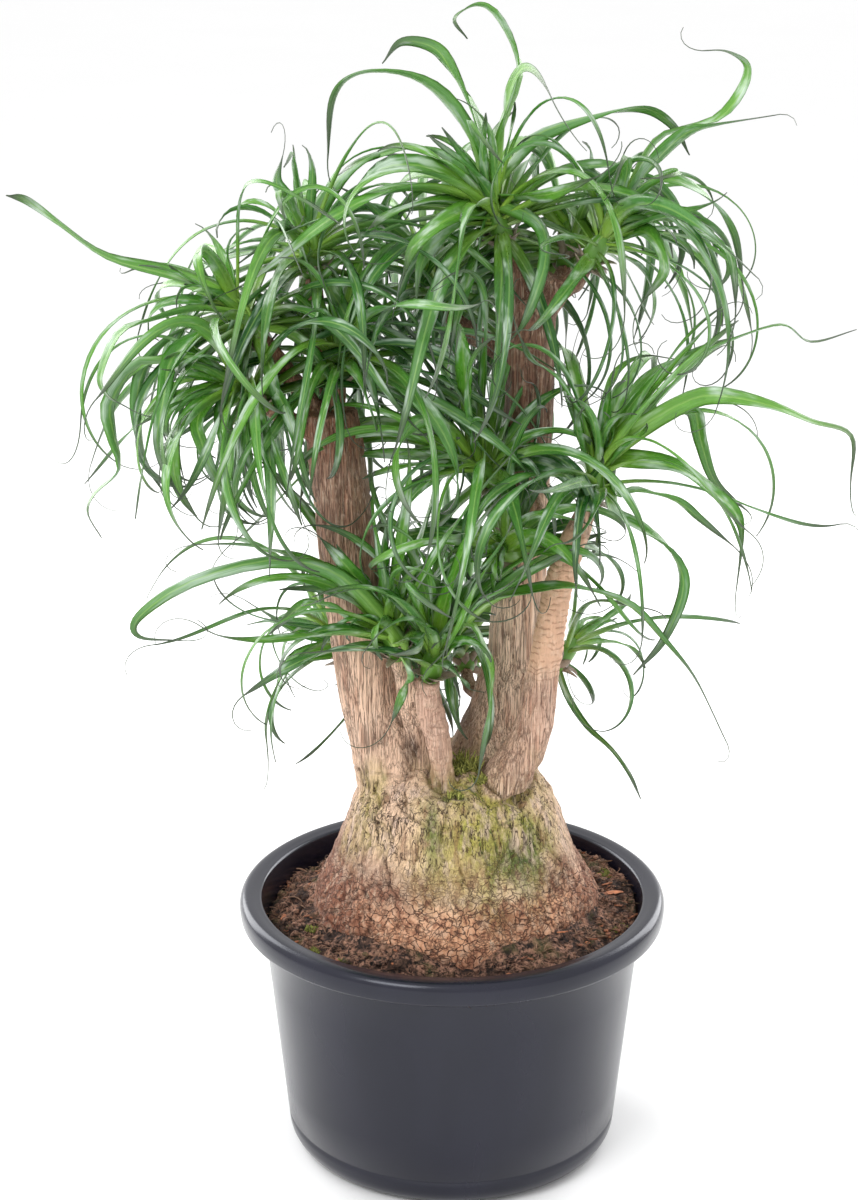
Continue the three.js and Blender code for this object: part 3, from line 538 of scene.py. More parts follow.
def posed_lines(head, index):
    """The tries of one leaf with a pose of its own. The first is the pose itself."""
    draws = Draws(SEED * 2000003 + head["seed"] * 7919 + index * 101 + TRIES)
    turn = (draws.swing(0.03) * TRIES)[:, None]
    tilt = (draws.swing(0.015) * TRIES)[:, None]
    width = LEAF_WIDTH * (0.9 + 0.35 * draws.next())
    twist = draws.swing(1.2)[:, None]
    root = HEART_LENGTH * (0.3 + 0.6 * ((index * ROOT_SPREAD) % 1))
    heart = np.array(head["foot"], float) + head_axes(head)[0] * root
    posed = np.array(head["posed"][index].split(), float).reshape(-1, 3)
    arms = np.vstack([heart, posed]) - heart
    x = arms[:, 0] * np.cos(turn) - arms[:, 1] * np.sin(turn)
    y = arms[:, 0] * np.sin(turn) + arms[:, 1] * np.cos(turn)
    z = arms[:, 2] + tilt * np.hypot(x, y)
    spots = smooth_points(np.stack([x, y, z], -1) + heart)
    beyond = np.concatenate([spots[:, :1], spots, spots[:, -1:]], 1)
    aheads = unit(beyond[:, 2:] - beyond[:, :-2])
    across = unit(np.cross([0, 0, 1], aheads[:, 0]))
    rows = []
    for point, ahead in zip(spots.swapaxes(0, 1), aheads.swapaxes(0, 1)):
        across = across + np.cross(ahead, across) * twist / STEPS
        across = unit(across - ahead * dot(across, ahead))
        rows.append((point, ahead, across))
    return Lines(rows, width, SHARES)


def corner_tree(node):
    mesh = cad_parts[node].data
    tree = KDTree(len(mesh.vertices))
    for i, vertex in enumerate(mesh.vertices):
        tree.insert(vertex.co, i)
    tree.balance()
    return tree


def settled_try(tree, lines):
    """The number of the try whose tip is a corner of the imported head, or None where it has no such leaf."""
    distances = [tree.find(tip * MM)[2] for tip in lines.points[:, -1]]
    best = int(np.argmin(distances))
    return best if distances[best] < SETTLED else None


def drawn_out(line, extra, curl, draws):
    """The line with its tip drawn out into a curling thread, where there is room for one."""
    steps = max(3, int(extra / 5))
    point, ahead, across = line.points[-1], line.ahead[-1], line.across[-1]
    bend = curl * (0.5 + draws.one())
    sway = draws.swing(2.2)
    rows = list(line.steps())
    for i in range(steps):
        over = np.cross(across, ahead)
        ahead = unit(ahead + (over * bend + across * sway) * (0.4 + i / steps) / steps)
        across = unit(across - ahead * dot(across, ahead))
        point = point + ahead * extra / steps
        rows.append((point, ahead, across))
    longer = Lines(rows, line.width, np.append(line.share, 1 + (np.arange(steps) + 1) / steps))
    inside = np.all((longer.points > low_corner - 8) & (longer.points < high_corner + 8))
    return longer if inside else line


# Leaf shapes

UPPER = np.array([-1, -0.6, -0.22, 0, 0.22, 0.6, 1])
LOWER = np.array([0.55, 0, -0.55])
CORNERS = np.concatenate([UPPER, LOWER])
IS_LOWER = np.arange(len(CORNERS)) >= len(UPPER)


def blade(shell, line, tone, age, wide=0.96, dry=0, roll=0):
    """One strap leaf: a closed thin blade with a channel along it, which turns over and ends in a thread."""
    share = np.minimum(line.share, 1)
    beyond = np.clip(line.share - 1, 0, 1)
    closing = np.minimum(1, (1 - share) / 0.78)
    taper = 0.75 * np.sin(math.pi / 2 * closing) + 0.25 * closing
    full = TIP_WIDTH + (line.width * wide - TIP_WIDTH) * taper
    full = full * (0.5 + 0.5 * smooth(0, 0.12, share))
    full = full * (1 - 0.45 * smooth(0.9, 1, share)) * (1 - 0.45 * beyond)
    half = full[:, None] / 2
    fold = (0.5 - 0.34 * smooth(0.05, 0.7, share))[:, None] * half
    thick = np.minimum((1.5 - 0.8 * share)[:, None], 0.9 * half)
    side = np.abs(CORNERS)
    lift = fold * (side**1.3 - 0.4) - np.where(IS_LOWER, thick * (1.05 - 0.55 * side), 0)
    above = np.cross(line.ahead, line.across)
    turns = 0.75 * np.sin(2 * math.pi * (1.1 * share + 3 * tone)) * smooth(0.15, 0.5, share) * (1 - dry)
    turned = (roll * smooth(0.2, 1, share) + turns)[:, None]
    sideways = line.across * np.cos(turned) + above * np.sin(turned)
    above = above * np.cos(turned) - line.across * np.sin(turned)
    points = line.points[:, None] + sideways[:, None] * (half * CORNERS)[..., None]
    points = points + above[:, None] * lift[..., None]
    rings = len(line.points)
    shell.add(
        points.reshape(-1, 3),
        tube_faces(rings, len(CORNERS), turned=True),
        along=np.repeat(np.where(beyond > 0, 1, share * 0.97), len(CORNERS)),
        across=np.tile(CORNERS * 0.5 + 0.5, rings),
        under=np.tile(IS_LOWER, rings),
        tone=tone, age=age, dry=dry,
    )


def heart(shell, head):
    """The short stem that the leaves spring from, and the collar of dried leaf bases under it."""
    up, side, front = head_axes(head)
    foot = np.array(head["foot"], float)
    profile = ((0.3, 0.8), (4, 0.95), (12, 1), (22, 0.9), (30, 0.6), (34, 0.3))
    rings = [circle(foot + up * height, HEART_RADIUS * share, side, front, 16) for height, share in profile]
    shell.tube(rings, along=0.24, across=0.3, tone=0.4, age=0.6, dry=0, under=0)
    draws = Draws(head["seed"] * 977 + 5)
    steps = 6
    for i in range(DRIED_BASES):
        turn = i * GOLDEN_ANGLE + draws.one()
        out = side * math.cos(turn) + front * math.sin(turn)
        lean = 0.5 + 0.9 * draws.one()
        length = 9 + 13 * draws.one()
        point = foot + up * (1 + 5 * draws.one()) + out * (HEART_RADIUS * 0.7)
        bend = (draws.one() - 0.3) * 1.5
        ahead = up * math.cos(lean) + out * math.sin(lean)
        across = unit(np.cross(up, out))
        rows = []
        for _ in range(steps + 1):
            rows.append((point, ahead, across))
            point = point + ahead * length / steps
            ahead = unit(ahead - up * bend / steps)
        line = Lines(rows, 8 + 5 * draws.one(), np.arange(steps + 1) / steps)
        blade(shell, line, draws.one(), 0.9, wide=1, dry=1)


def young_leaves(shell, head):
    """The short bright leaves that still stand up in the heart."""
    for i in range(YOUNG_LEAVES):
        share = i / YOUNG_LEAVES
        draws = Draws(head["seed"] * 5413 + i * 37 + 11)
        turn = i * GOLDEN_ANGLE + head["turn"] + 0.6 + draws.swing(0.8)
        lean = 0.05 + 0.5 * share + 0.15 * draws.next()
        length = head["reach"] * (0.18 + 0.25 * share + 0.15 * draws.next())
        soft = dict(head, hang=0.2 + 0.35 * share)
        line = grow(soft, draws, turn, lean, length, HEART_LENGTH * (0.85 - 0.3 * share)).one(0, SHORT_BLADE)
        line.width = 7 + 4 * share
        pick = Draws(head["seed"] * 271 + i)
        roll = pick.swing(1.2)[0]
        blade(shell, line, pick.one(), 0.05 + 0.3 * share, wide=1, roll=roll)


def more_leaves(shell, head):
    """The numbered free leaves between the main ones, from upright young ones to hanging old ones."""
    numbers = np.array(head["more"].split(), int)
    draws = Draws(SEED * 4000037 + head["seed"] * 6607 + numbers)
    turn = 2 * math.pi * draws.next()
    age = draws.next()
    lean = 0.1 + (head["lean"] - 0.1) * age
    length = head["reach"] * (0.3 + 0.4 * age + 0.5 * draws.next())
    loose = dict(head, hang=head["hang"] * (0.35 + 0.65 * age))
    lines = grow(loose, draws, turn, lean, length, HEART_LENGTH * (0.25 + 0.6 * (1 - age)))
    for i, number in enumerate(numbers):
        line = lines.one(i, LONG_BLADE)
        line.width *= 0.6 + 0.25 * age[i]
        pick = Draws(head["seed"] * 331 + number)
        roll = pick.swing(2.4)[0]
        if pick.one() < 0.5:
            line = drawn_out(line, 15 + 30 * pick.one(), 1.5, pick)
        blade(shell, line, pick.one(), age[i], roll=roll)


def head_piece(head, material):
    name = head["name"]
    node = "rosette_" + name
    tree = corner_tree(node)
    shell = Shell()
    heart(shell, head)
    narrow = head["narrow"].split()
    jobs = [(posed_lines, i) for i in range(len(head["posed"]))]
    jobs += [(grown_lines, i) for i in range(head["leaves"])]
    for rule, index in jobs:
        lines = rule(head, index)
        best = settled_try(tree, lines)
        if best is None:
            continue
        posed = rule is posed_lines
        draws = Draws(head["seed"] * 733 + index * 17 + posed)
        line = lines.one(0 if posed else best, LONG_BLADE)
        if posed:
            line.width *= POSED_WIDTHS.get((name, index), POSED_WIDTH)
        elif str(index) in narrow:
            line.width *= NARROW_WIDTH
        if draws.one() < THREAD_SHARE:
            line = drawn_out(line, 15 + 45 * draws.one(), 2.5, draws)
        age = max(POSED_AGE if posed else (index + 0.5) / head["leaves"], head["youngest"])
        roll = draws.swing(2.4)[0]
        blade(shell, line, draws.one(), age, roll=roll)
    young_leaves(shell, head)
    more_leaves(shell, head)
    return shell.piece("leaves_" + name, "leaves", material, [node])


# Materials


class Nodes:
    """A material's nodes, made with short calls."""

    def __init__(self, name):
        self.material = bpy.data.materials.new(name)
        self.material.use_nodes = True
        self.tree = self.material.node_tree

    def set(self, socket, value):
        """Links a value to a socket, or sets it there. A colour has three numbers."""
        if isinstance(value, bpy.types.NodeSocket):
            self.tree.links.new(value, socket)
        else:
            socket.default_value = (*value, 1) if socket.type == "RGBA" else value

    def make(self, kind, output, inputs, **settings):
        """One output of a new node, with its inputs by name or number."""
        node = self.tree.nodes.new("ShaderNode" + kind)
        for key, value in settings.items():
            setattr(node, key, value)
        for key, value in inputs.items():
            self.set(node.inputs[key], value)
        return node.outputs[output]

    def attribute(self, name, output="Fac"):
        return self.make("Attribute", output, {}, attribute_name=name)

    def maths(self, operation, *values):
        return self.make("Math", 0, dict(enumerate(values)), operation=operation)

    def times(self, a, b):
        return self.maths("MULTIPLY", a, b)

    def ramp(self, value, low, high, to_low=0, to_high=1):
        numbers = enumerate((value, low, high, to_low, to_high))
        return self.make("MapRange", 0, dict(numbers), interpolation_type="SMOOTHSTEP")

    def mix(self, share, a, b):
        return self.make("Mix", 2, {0: share, 6: a, 7: b}, data_type="RGBA")

    def layer(self, under, value, low, high, most, colour, within=None):
        """A colour laid over another one as strongly as the value's ramp says, up to most."""
        share = self.ramp(value, low, high, 0, most)
        return self.mix(share if within is None else self.times(within, share), under, srgb(*colour))

    def place(self, upright=1, along=1):
        """Where a point is on the object. Numbers below 1 draw out what lies there, upwards or along."""
        where = self.make("TexCoord", "Object", {})
        return self.make("Mapping", 0, {"Vector": where, "Scale": (along, 1, upright)})

    def noise(self, place, scale, detail=3, rough=0.55, output="Fac"):
        inputs = {"Vector": place, "Scale": scale, "Detail": detail, "Roughness": rough}
        return self.make("TexNoise", output, inputs)

    def cracks(self, place, scale):
        inputs = {"Vector": place, "Scale": scale}
        return self.make("TexVoronoi", "Distance", inputs, feature="DISTANCE_TO_EDGE")

    def vector(self, operation, a, b):
        return self.make("VectorMath", 0, {0: a, 1: b}, operation=operation)

    def warped(self, place, scale, amount):
        """The place, wandering by that amount."""
        wander = self.noise(place, scale, 2, 0.5, "Color")
        centred = self.vector("SUBTRACT", wander, (0.5, 0.5, 0.5))
        return self.vector("ADD", place, self.vector("MULTIPLY", centred, (amount, amount, amount)))

    def line(self, value, width, most=1):
        """Most along the thin line where a value crosses its middle, and 0 away from it."""
        return self.ramp(self.maths("ABSOLUTE", self.maths("SUBTRACT", value, 0.5)), 0, width, most, 0)

    def bump(self, height, distance, strength=1):
        return self.make("Bump", 0, {"Height": height, "Distance": distance, "Strength": strength})

    def finish(self, **inputs):
        for key, value in inputs.items():
            self.set(self.tree.nodes["Principled BSDF"].inputs[key.replace("_", " ")], value)
        return self.material


def leaf_material():
    n = Nodes("strap_leaf")
    along, across, tone, age = map(n.attribute, ("along", "across", "tone", "age"))

    def streaked(wide, long, apart, detail):
        """Noise that follows a leaf, and that each tone has for itself."""
        parts = {"X": n.times(across, wide), "Y": n.times(along, long), "Z": n.times(tone, apart)}
        return n.noise(n.make("CombineXYZ", 0, parts), 1, detail)

    veins = streaked(26, 3, 97, 2)
    cloud = streaked(1.5, 6, 57, 3)
    fresh = n.mix(tone, srgb(78, 146, 36), srgb(112, 172, 56))
    old = n.mix(tone, srgb(32, 84, 32), srgb(82, 136, 56))
    green = n.mix(n.ramp(age, 0.05, 0.85), fresh, old)
    # Whitish patches along each leaf are a painted sheen, and the dark green patches between them are painted
    # shade
    green = n.layer(green, cloud, 0.5, 0.7, 0.8, (212, 230, 214))
    green = n.layer(green, cloud, 0.46, 0.3, 0.4, (28, 70, 34))
    green = n.mix(n.times(n.attribute("under"), 0.4), green, srgb(96, 136, 96))
    young = n.ramp(age, 0, 1, 1, 0.45)
    root = n.mix(n.times(young, n.ramp(along, 0.02, 0.36, 0.9, 0)), green, srgb(170, 212, 80))
    root = n.mix(n.times(young, n.ramp(along, 0, 0.08, 0.6, 0)), root, srgb(204, 220, 124))
    ribbed = n.mix(n.line(across, 0.1, 0.4), root, srgb(168, 208, 110))
    veined = n.layer(ribbed, veins, 0.4, 0.65, 0.3, (46, 104, 34))
    tip = n.layer(veined, along, 0.66, 0.96, 0.92, (66, 74, 62))
    colour = n.mix(n.attribute("dry"), tip, n.mix(cloud, srgb(188, 172, 152), srgb(92, 74, 64)))
    sheen = n.ramp(cloud, 0.3, 0.75, 0.24, 0.4)
    return n.finish(Base_Color=colour, Roughness=sheen, Normal=n.bump(veins, 0.0003, 0.7))


def bark_material():
    n = Nodes("bark")
    base, grain, tall, scar = map(n.attribute, ("base", "grain", "tall", "scar"))
    low = n.times(base, n.maths("SUBTRACT", 1, tall))
    high = n.times(base, tall)

    # Blocky cracks low on the base, in two sizes and not everywhere alike
    broken = n.warped(n.warped(n.place(1.15), 45, 0.014), 190, 0.006)
    patchy = n.noise(n.place(), 70)
    wide_crack = n.times(n.ramp(n.cracks(broken, 132), 0, 0.08, 1, 0), n.ramp(patchy, 0.36, 0.56))
    fine_crack = n.times(n.ramp(n.cracks(broken, 235), 0, 0.11, 1, 0), n.ramp(patchy, 0.6, 0.42))
    crack = n.times(low, n.maths("MAXIMUM", wide_crack, n.times(fine_crack, 0.8)))

    # Upright fissures higher up and on the trunks: thin lines where a stretched noise crosses its middle
    fissure = n.line(n.noise(n.warped(n.place(0.085), 60, 0.0015), 190, 2), 0.03)
    fissure = n.times(fissure, n.ramp(n.noise(n.place(0.5), 50, 2), 0.32, 0.5))
    fissure = n.times(fissure, n.maths("MAXIMUM", high, n.times(grain, 0.5)))
    thread = n.line(n.noise(n.warped(n.place(0.02), 40, 0.002), 460, 4, 0.65), 0.04)
    thread = n.times(thread, n.maths("MAXIMUM", grain, n.times(high, 0.5)))

    # Small scales and flakes all over the base
    flakes = n.noise(n.warped(n.place(0.6), 200, 0.003), 270, 6, 0.75)
    flecks = n.times(base, n.ramp(flakes, 0.43, 0.36))
    mottle = n.noise(n.place(0.7), 150, 4, 0.6)
    bands = n.noise(n.place(0.16), 95, 3, 0.6)
    fibres = n.noise(n.place(0.045), 620, 4, 0.65)

    # Ring scars on the slim trunk, fainter and broken on the stump
    place = n.warped(n.warped(n.place(), 70, 0.009), 170, 0.004)
    waves = {"Vector": place, "Scale": 58, "Distortion": 2.5, "Detail": 2, "Detail Scale": 1.3}
    rings = n.make("TexWave", "Fac", waves, bands_direction="Z")
    gate = n.ramp(n.noise(n.place(), 160, 2), 0.41, 0.57, 0.05, 1)
    ring = n.times(n.times(n.ramp(rings, 0, 0.22, 1, 0), gate), scar)

    tone = n.layer(n.attribute("tint", "Color"), mottle, 0.48, 0.68, 0.4, (232, 202, 176))
    for within, value, start, end, most, colour in (
        (low, mottle, 0.5, 0.38, 0.7, (132, 80, 58)),
        (high, bands, 0.52, 0.66, 0.6, (224, 196, 180)),
        (high, bands, 0.46, 0.34, 0.55, (138, 92, 66)),
        (grain, fibres, 0.47, 0.36, 0.6, (128, 88, 70)),
        (grain, fibres, 0.54, 0.66, 0.5, (236, 210, 190)),
        (grain, bands, 0.52, 0.68, 0.45, (188, 130, 102)),
    ):
        tone = n.layer(tone, value, start, end, most, colour, within)
    for where, share, colour in (
        (thread, 0.6, (98, 62, 48)),
        (fissure, 0.9, (60, 40, 28)),
        (flecks, 0.82, (74, 46, 32)),
        (crack, 0.88, (62, 34, 26)),
        (ring, 0.45, (140, 86, 58)),
        # Pale glints on the raised flakes are a painted highlight
        (n.ramp(flakes, 0.58, 0.7), n.times(base, 0.65), (240, 216, 186)),
    ):
        tone = n.mix(n.times(where, share), tone, srgb(*colour))
    depth = n.times(crack, -1.2)
    for height, share in (
        (fissure, -1.1),
        (thread, -0.6),
        (flakes, n.times(base, 1.6)),
        (fibres, n.times(grain, 1.2)),
        (n.maths("SUBTRACT", rings, ring), n.times(scar, 0.35)),
    ):
        depth = n.maths("ADD", depth, n.times(height, share))
    return n.finish(Base_Color=tone, Roughness=0.8, Normal=n.bump(depth, 0.0011))


def pot_material():
    n = Nodes("pot_plastic")
    fine = n.noise(n.place(), 900, 2)
    broad = n.noise(n.place(0.35), 14)
    return n.finish(
        Base_Color=n.mix(n.ramp(broad, 0.35, 0.7), srgb(18, 17, 29), srgb(25, 24, 37)),
        Roughness=n.ramp(broad, 0.3, 0.7, 0.2, 0.28),
        Normal=n.bump(fine, 0.00012, 0.5),
        Specular_IOR_Level=0.42,
        Specular_Tint=(0.86, 0.9, 1),
        Coat_Weight=0.12,
        Coat_Roughness=0.1,
    )


def soil_material():
    n = Nodes("potting_soil")
    where = n.place()
    grains = n.noise(n.warped(where, 150, 0.006), 250, 6, 0.8)
    clods = n.noise(where, 52, 4, 0.65)
    colour = n.mix(n.ramp(grains, 0.42, 0.59), srgb(16, 10, 9), srgb(190, 142, 118))
    for value, low, high, most, paint in (
        (clods, 0.52, 0.4, 0.8, (34, 21, 18)),
        (clods, 0.56, 0.7, 0.5, (112, 84, 58)),
        (n.noise(where, 38), 0.56, 0.68, 0.5, (88, 88, 46)),
        (n.attribute("tone"), 0.6, 1, 0.85, (196, 152, 122)),
    ):
        colour = n.layer(colour, value, low, high, most, paint)
    return n.finish(Base_Color=colour, Roughness=0.95, Normal=n.bump(grains, 0.004))


def speckled_material(name, dark, light, speck, start, place, scale, rough, depth):
    """Small matter between a dark and a light colour by its tone, with specks of a third colour."""
    n = Nodes(name)
    specks = n.noise(n.place(*place), scale)
    colour = n.mix(n.attribute("tone"), srgb(*dark), srgb(*light))
    colour = n.layer(colour, specks, start, 0.65, 0.6, speck)
    return n.finish(Base_Color=colour, Roughness=rough, Normal=n.bump(specks, depth))


# The woody body


def route_distance(points, route):
    """How far each point is outside a trunk given by its route, in millimetres."""
    nearest = np.inf
    route = np.array(route, float)
    for a, b in zip(route[:-1], route[1:]):
        line = b[:3] - a[:3]
        share = np.clip((points - a[:3]) @ line / (line @ line), 0, 1)
        middle = a[:3] + share[:, None] * line
        radius = a[3] + share * (b[3] - a[3])
        nearest = np.minimum(nearest, np.linalg.norm(points - middle, axis=1) - radius)
    return nearest


def remeshed(node, voxel, rounds):
    """The points, normals and faces of a node's mesh, made again as one even skin and smoothed."""
    work = add_object("work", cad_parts[node].data.copy())
    grid = work.modifiers.new("grid", "REMESH")
    grid.mode = "VOXEL"
    grid.voxel_size = voxel * MM
    soft = work.modifiers.new("soft", "SMOOTH")
    soft.factor = 0.5
    soft.iterations = rounds
    made = applied(work)
    bpy.data.objects.remove(work)
    found = np.empty((2, len(made.vertices) * 3))
    made.vertices.foreach_get("co", found[0])
    made.vertices.foreach_get("normal", found[1])
    points, normals = found.reshape(2, -1, 3)
    return points / MM, normals, [tuple(p.vertices) for p in made.polygons]


def fewer_faces(piece, most):
    """Joins faces where the piece is flattest, until it has no more than that many triangles."""
    triangles = sum(len(polygon.vertices) - 2 for polygon in piece.data.polygons)
    if triangles > most:
        piece.modifiers.new("fewer", "DECIMATE").ratio = most / triangles
        piece.data = applied(piece)
        piece.modifiers.clear()
        piece.data.polygons.foreach_set("use_smooth", [True] * len(piece.data.polygons))


def ridge(points, size, seed, width, upright=1):
    """1 along thin lines that wander over a surface, and 0 away from them."""
    return smooth(width, 0, np.abs(noise(points, size, seed, upright)))


def spot(*rows):
    """1 at a place and 0 away from it. Each row has a coordinate, the place's own and the spot's reach."""
    return np.exp(-sum(((value - middle) / reach) ** 2 for value, middle, reach in rows))


def painted(tint, *layers):
    """Tints with more colours laid over them, each with its share."""
    for colour, share in layers:
        tint = tint + (colour - tint) * np.clip(share, 0, 1)[:, None]
    return tint


def woody_body():
    points, normals, faces = remeshed("caudex", BARK_VOXEL, 6)
    x, y, z = points.T

    def lumps(size, seed, upright=1):
        return noise(points, size, seed, upright)

    def wander(size, seed):
        return np.stack([lumps(size, seed + axis) for axis in range(3)], -1)

    # Where what grows, each from 0 to 1
    tall = smooth(254, 300, z + 18 * lumps(26, 29))
    to_ringed = route_distance(points, RINGED_TRUNK)
    to_stump = route_distance(points, FRONT_STUMP)
    ringed = smooth(4, 0, to_ringed) * smooth(426, 452, z)
    slim = smooth(4, 0, to_ringed) * smooth(335, 350, z) * smooth(10, -5, y)
    stump = smooth(3.5, 0, to_stump) * smooth(330, 345, z)
    foot = np.minimum(np.abs(to_ringed - 1.5), np.abs(to_stump - 1))
    foot_seam = smooth(2.8, 0.5, foot) * smooth(310, 320, z) * smooth(368, 350, z) * smooth(0, -12, y)
    # The slim trunk's foot sits on the base in a rounded crease
    around_foot = (np.abs((x - 45) / 24) ** 3 + np.abs((z - 352) / 22) ** 3) ** (1 / 3)
    front = smooth(30, -25, y)
    crease = smooth(0.13, 0.02, np.abs(around_foot - 1.02)) * smooth(356, 346, z) * front
    on_foot = smooth(1, 0.86, around_foot) * front
    base = smooth(378, 332, z + 11 * lumps(20, 30)) * (1 - on_foot)
    low = base * (1 - tall)
    high = base * tall
    split = 0
    for place, top, bottom in SPLITS:
        off = smooth(1.5, 0.4, np.abs(x + 4 * lumps(11, 90 + top) + 1.5 * lumps(4, 91 + top) - place))
        split = np.maximum(split, off * smooth(bottom - 4, bottom + 6, z) * smooth(top + 4, top - 6, z))
    split = split * smooth(10, -20, y)
    grain = (1 - base) * (1 - 0.8 * ringed) * (1 - 0.5 * stump) * (1 - 0.15 * slim)

    # Plates, cracks, fissures and rings
    drift = wander(22, 31)
    edge, plate = cells(points + drift * 4 + wander(8, 35) * 1.6, (9, 9, 8), 3)
    crack = smooth(0.16, 0, edge) * smooth(-0.4, 0.2, lumps(26, 33))
    seam = ridge(points + drift * 6, 30, 21, 0.045) * base
    leaning = points + drift * 3
    fissure = ridge(leaning, 8, 22, 0.13, 0.13) * smooth(-0.3, 0.3, lumps(30, 34))
    strand = noise(leaning, 4.5, 5, 0.1)
    groove = ridge(leaning, 9, 6, 0.12, 0.07)
    rings = np.sin((z + 2.5 * drift[:, 0] + 3 * lumps(13, 44)) * (2 * math.pi / 6.5))

    move = (lumps(55, 51) * 2.6 + lumps(18, 53, 0.6) * 1.5) * base
    move += lumps(24, 52) * 1.1
    move += low * (0.45 * (plate - 0.5) - 1.2 * crack)
    move += high * (0.9 * lumps(8, 55, 0.22) - 1.9 * fissure)
    move += base * (0.7 * lumps(6.5, 56) + 0.45 * lumps(3.8, 54))
    move -= 1.3 * seam + 2.4 * foot_seam + 2.2 * crease + 1.8 * split
    move += 1.2 * on_foot * smooth(372, 345, z)
    move += grain * (0.6 * strand - groove + 0.5 * lumps(14, 57, 0.15))
    move += ringed * (0.4 * rings + 0.6 * lumps(9, 61))
    move += stump * (0.3 * np.sin(z * (2 * math.pi / 13) + 2 * drift[:, 0]) + 0.35 * lumps(6, 62))
    move += 7 * spot((x, -30, 11), (y, -55, 24), (z, 346, 7)) * (0.4 + plate)

    # Broad colours: tan above, rust red low down and on the flanks, brown at the top of the left trunk,
    # partly painted shade
    rust = srgb(126, 74, 54)
    brown = srgb(170, 130, 108)
    stump_pink = srgb(212, 172, 150)
    dark = np.array(srgb(84, 52, 40))
    tint = painted(
        np.tile(srgb(242, 204, 176), (len(points), 1)),
        (srgb(254, 218, 170), base * spot((x, 10, 58), (z, 284, 26))),
        (srgb(220, 162, 126), low * smooth(272, 240, z + 10 * lumps(24, 73))),
        (rust, low * smooth(-0.1, 0.5, lumps(30, 71)) * 0.7),
        (rust, base * smooth(-50, -94, x + 8 * lumps(15, 77)) * smooth(325, 255, z) * 0.8),
        (rust, low * smooth(82, 108, x + 8 * lumps(15, 78)) * 0.55),
        # Brown towards the top of the left trunk: partly the bark's colour, partly painted shade under the
        # leaves
        (brown, grain * smooth(430, 560, z) * np.where(x < -40, 0.95, 0.1)),
        (brown, grain * smooth(0.1, 0.7, lumps(18, 72, 0.25)) * 0.5),
        # Darker brown high on the main trunk: partly the bark's colour, partly painted shade under the crown
        (srgb(124, 80, 62), grain * smooth(560, 600, z) * smooth(-40, -20, x) * 0.85),
        (srgb(164, 98, 68), smooth(-60, -70, x) * smooth(602, 616, z + 10 * lumps(8, 79)) * 0.5),
        (rust, base * smooth(226, 208, z + 5 * lumps(9, 70)) * 0.5),
        # A paler patch on the front of the main trunk is painted light, lifting the shade that the leaves and
        # the slim trunk cast there
        (srgb(250, 222, 196), grain * smooth(20, 35, x) * smooth(-28, -14, y) * smooth(500, 470, z) * 0.9),
        (stump_pink, slim * (1 - ringed) * 0.8),
        (srgb(222, 178, 148), ringed),
        (stump_pink, stump),
    )
    tint = tint * (1 + low * (plate - 0.5) * 0.2)[:, None]

    # Darker in cracks, seams and splits, painted shade in the creases and gaps round the trunks, green on the
    # damp side
    # Painted shade in the gap between the trunks
    shade_between_trunks = spot((x, 8, 15), (z, 382, 40)) * smooth(-28, -12, y)
    # Painted shade on the main trunk along the slim trunk that touches it
    shade_beside_slim = smooth(9, 2.5, to_ringed) * smooth(0.8, 2.2, to_ringed)
    shade_beside_slim = shade_beside_slim * smooth(352, 372, z) * smooth(560, 540, z)
    # Painted shadow in the dip between the left trunk and the stump
    hollow_shade = spot((x, -33, 8), (z, 366, 17)) * smooth(-54, -44, y) * smooth(10, -10, y)
    streaks = lumps(8, 76, 0.2)
    damp = np.exp(-(np.abs((x - 28) / 54) ** 3) - ((z - 306) / 42) ** 2) * front * (1 - 0.7 * on_foot)
    damp = damp * (0.85 + 0.4 * lumps(16, 74) + 0.45 * streaks)
    damp = damp + 0.5 * high * smooth(0.1, 0.7, lumps(34, 75)) * (0.7 + 0.5 * streaks)
    wet = 1.1 * (spot((x, 54, 22), (z, 284, 24)) * front) + 0.8 * (spot((x, -16, 7), (z, 310, 30)) * front)
    tint = painted(
        tint,
        # Darker in the cracks, seams and splits; in the creases round the trunks' feet this is painted shade
        (dark, 0.4 * low * crack + 0.65 * seam + 0.9 * foot_seam + 0.85 * crease + 0.85 * split),
        (dark, 0.7 * shade_between_trunks + 0.6 * shade_beside_slim),
        (dark * 0.6, 1.1 * hollow_shade),
        (dark, 0.4 * high * fissure + 0.3 * grain * groove + 0.12 * grain * smooth(0, 0.8, -strand)),
        (srgb(184, 174, 88), damp * 1.15),
        (srgb(86, 114, 46), wet * (0.65 + 0.7 * streaks) + damp * high * fissure),
    )
    scar = np.clip(ringed + 0.6 * stump + 0.3 * slim, 0, 1)
    values = {"base": base, "grain": grain, "tall": tall, "scar": scar, "tint": np.clip(tint, 0, 1)}
    made = points + normals * move[:, None]
    piece = new_piece("bark", made, faces, "bark", bark_material(), ["caudex"], values)
    fewer_faces(piece, MOST_TRIANGLES)
    return piece


# The pot


def lathe(outline, sides):
    """A closed solid of revolution. The outline runs from the axis to the axis, as radius and height."""
    start, *middle, end = outline
    rings = [circle((0, 0, height), radius, (1, 0, 0), (0, 1, 0), sides) for radius, height in middle]
    points = np.vstack([(0, 0, start[1]), *rings, (0, 0, end[1])])
    faces = []
    last = len(points) - 1
    for side in range(sides):
        after = (side + 1) % sides
        faces.append((0, 1 + after, 1 + side))
        for first in range(1, last - sides, sides):
            faces.append((first + side, first + after, first + after + sides, first + side + sides))
        faces.append((last, last - sides + side, last - sides + after))
    return points, faces


def arc(x, y, radius, start, end, steps):
    """Outline points on an arc round x and y, with angles in degrees."""
    angles = np.radians(np.linspace(start, end, steps))
    return [(x + radius * math.cos(a), y + radius * math.sin(a)) for a in angles]


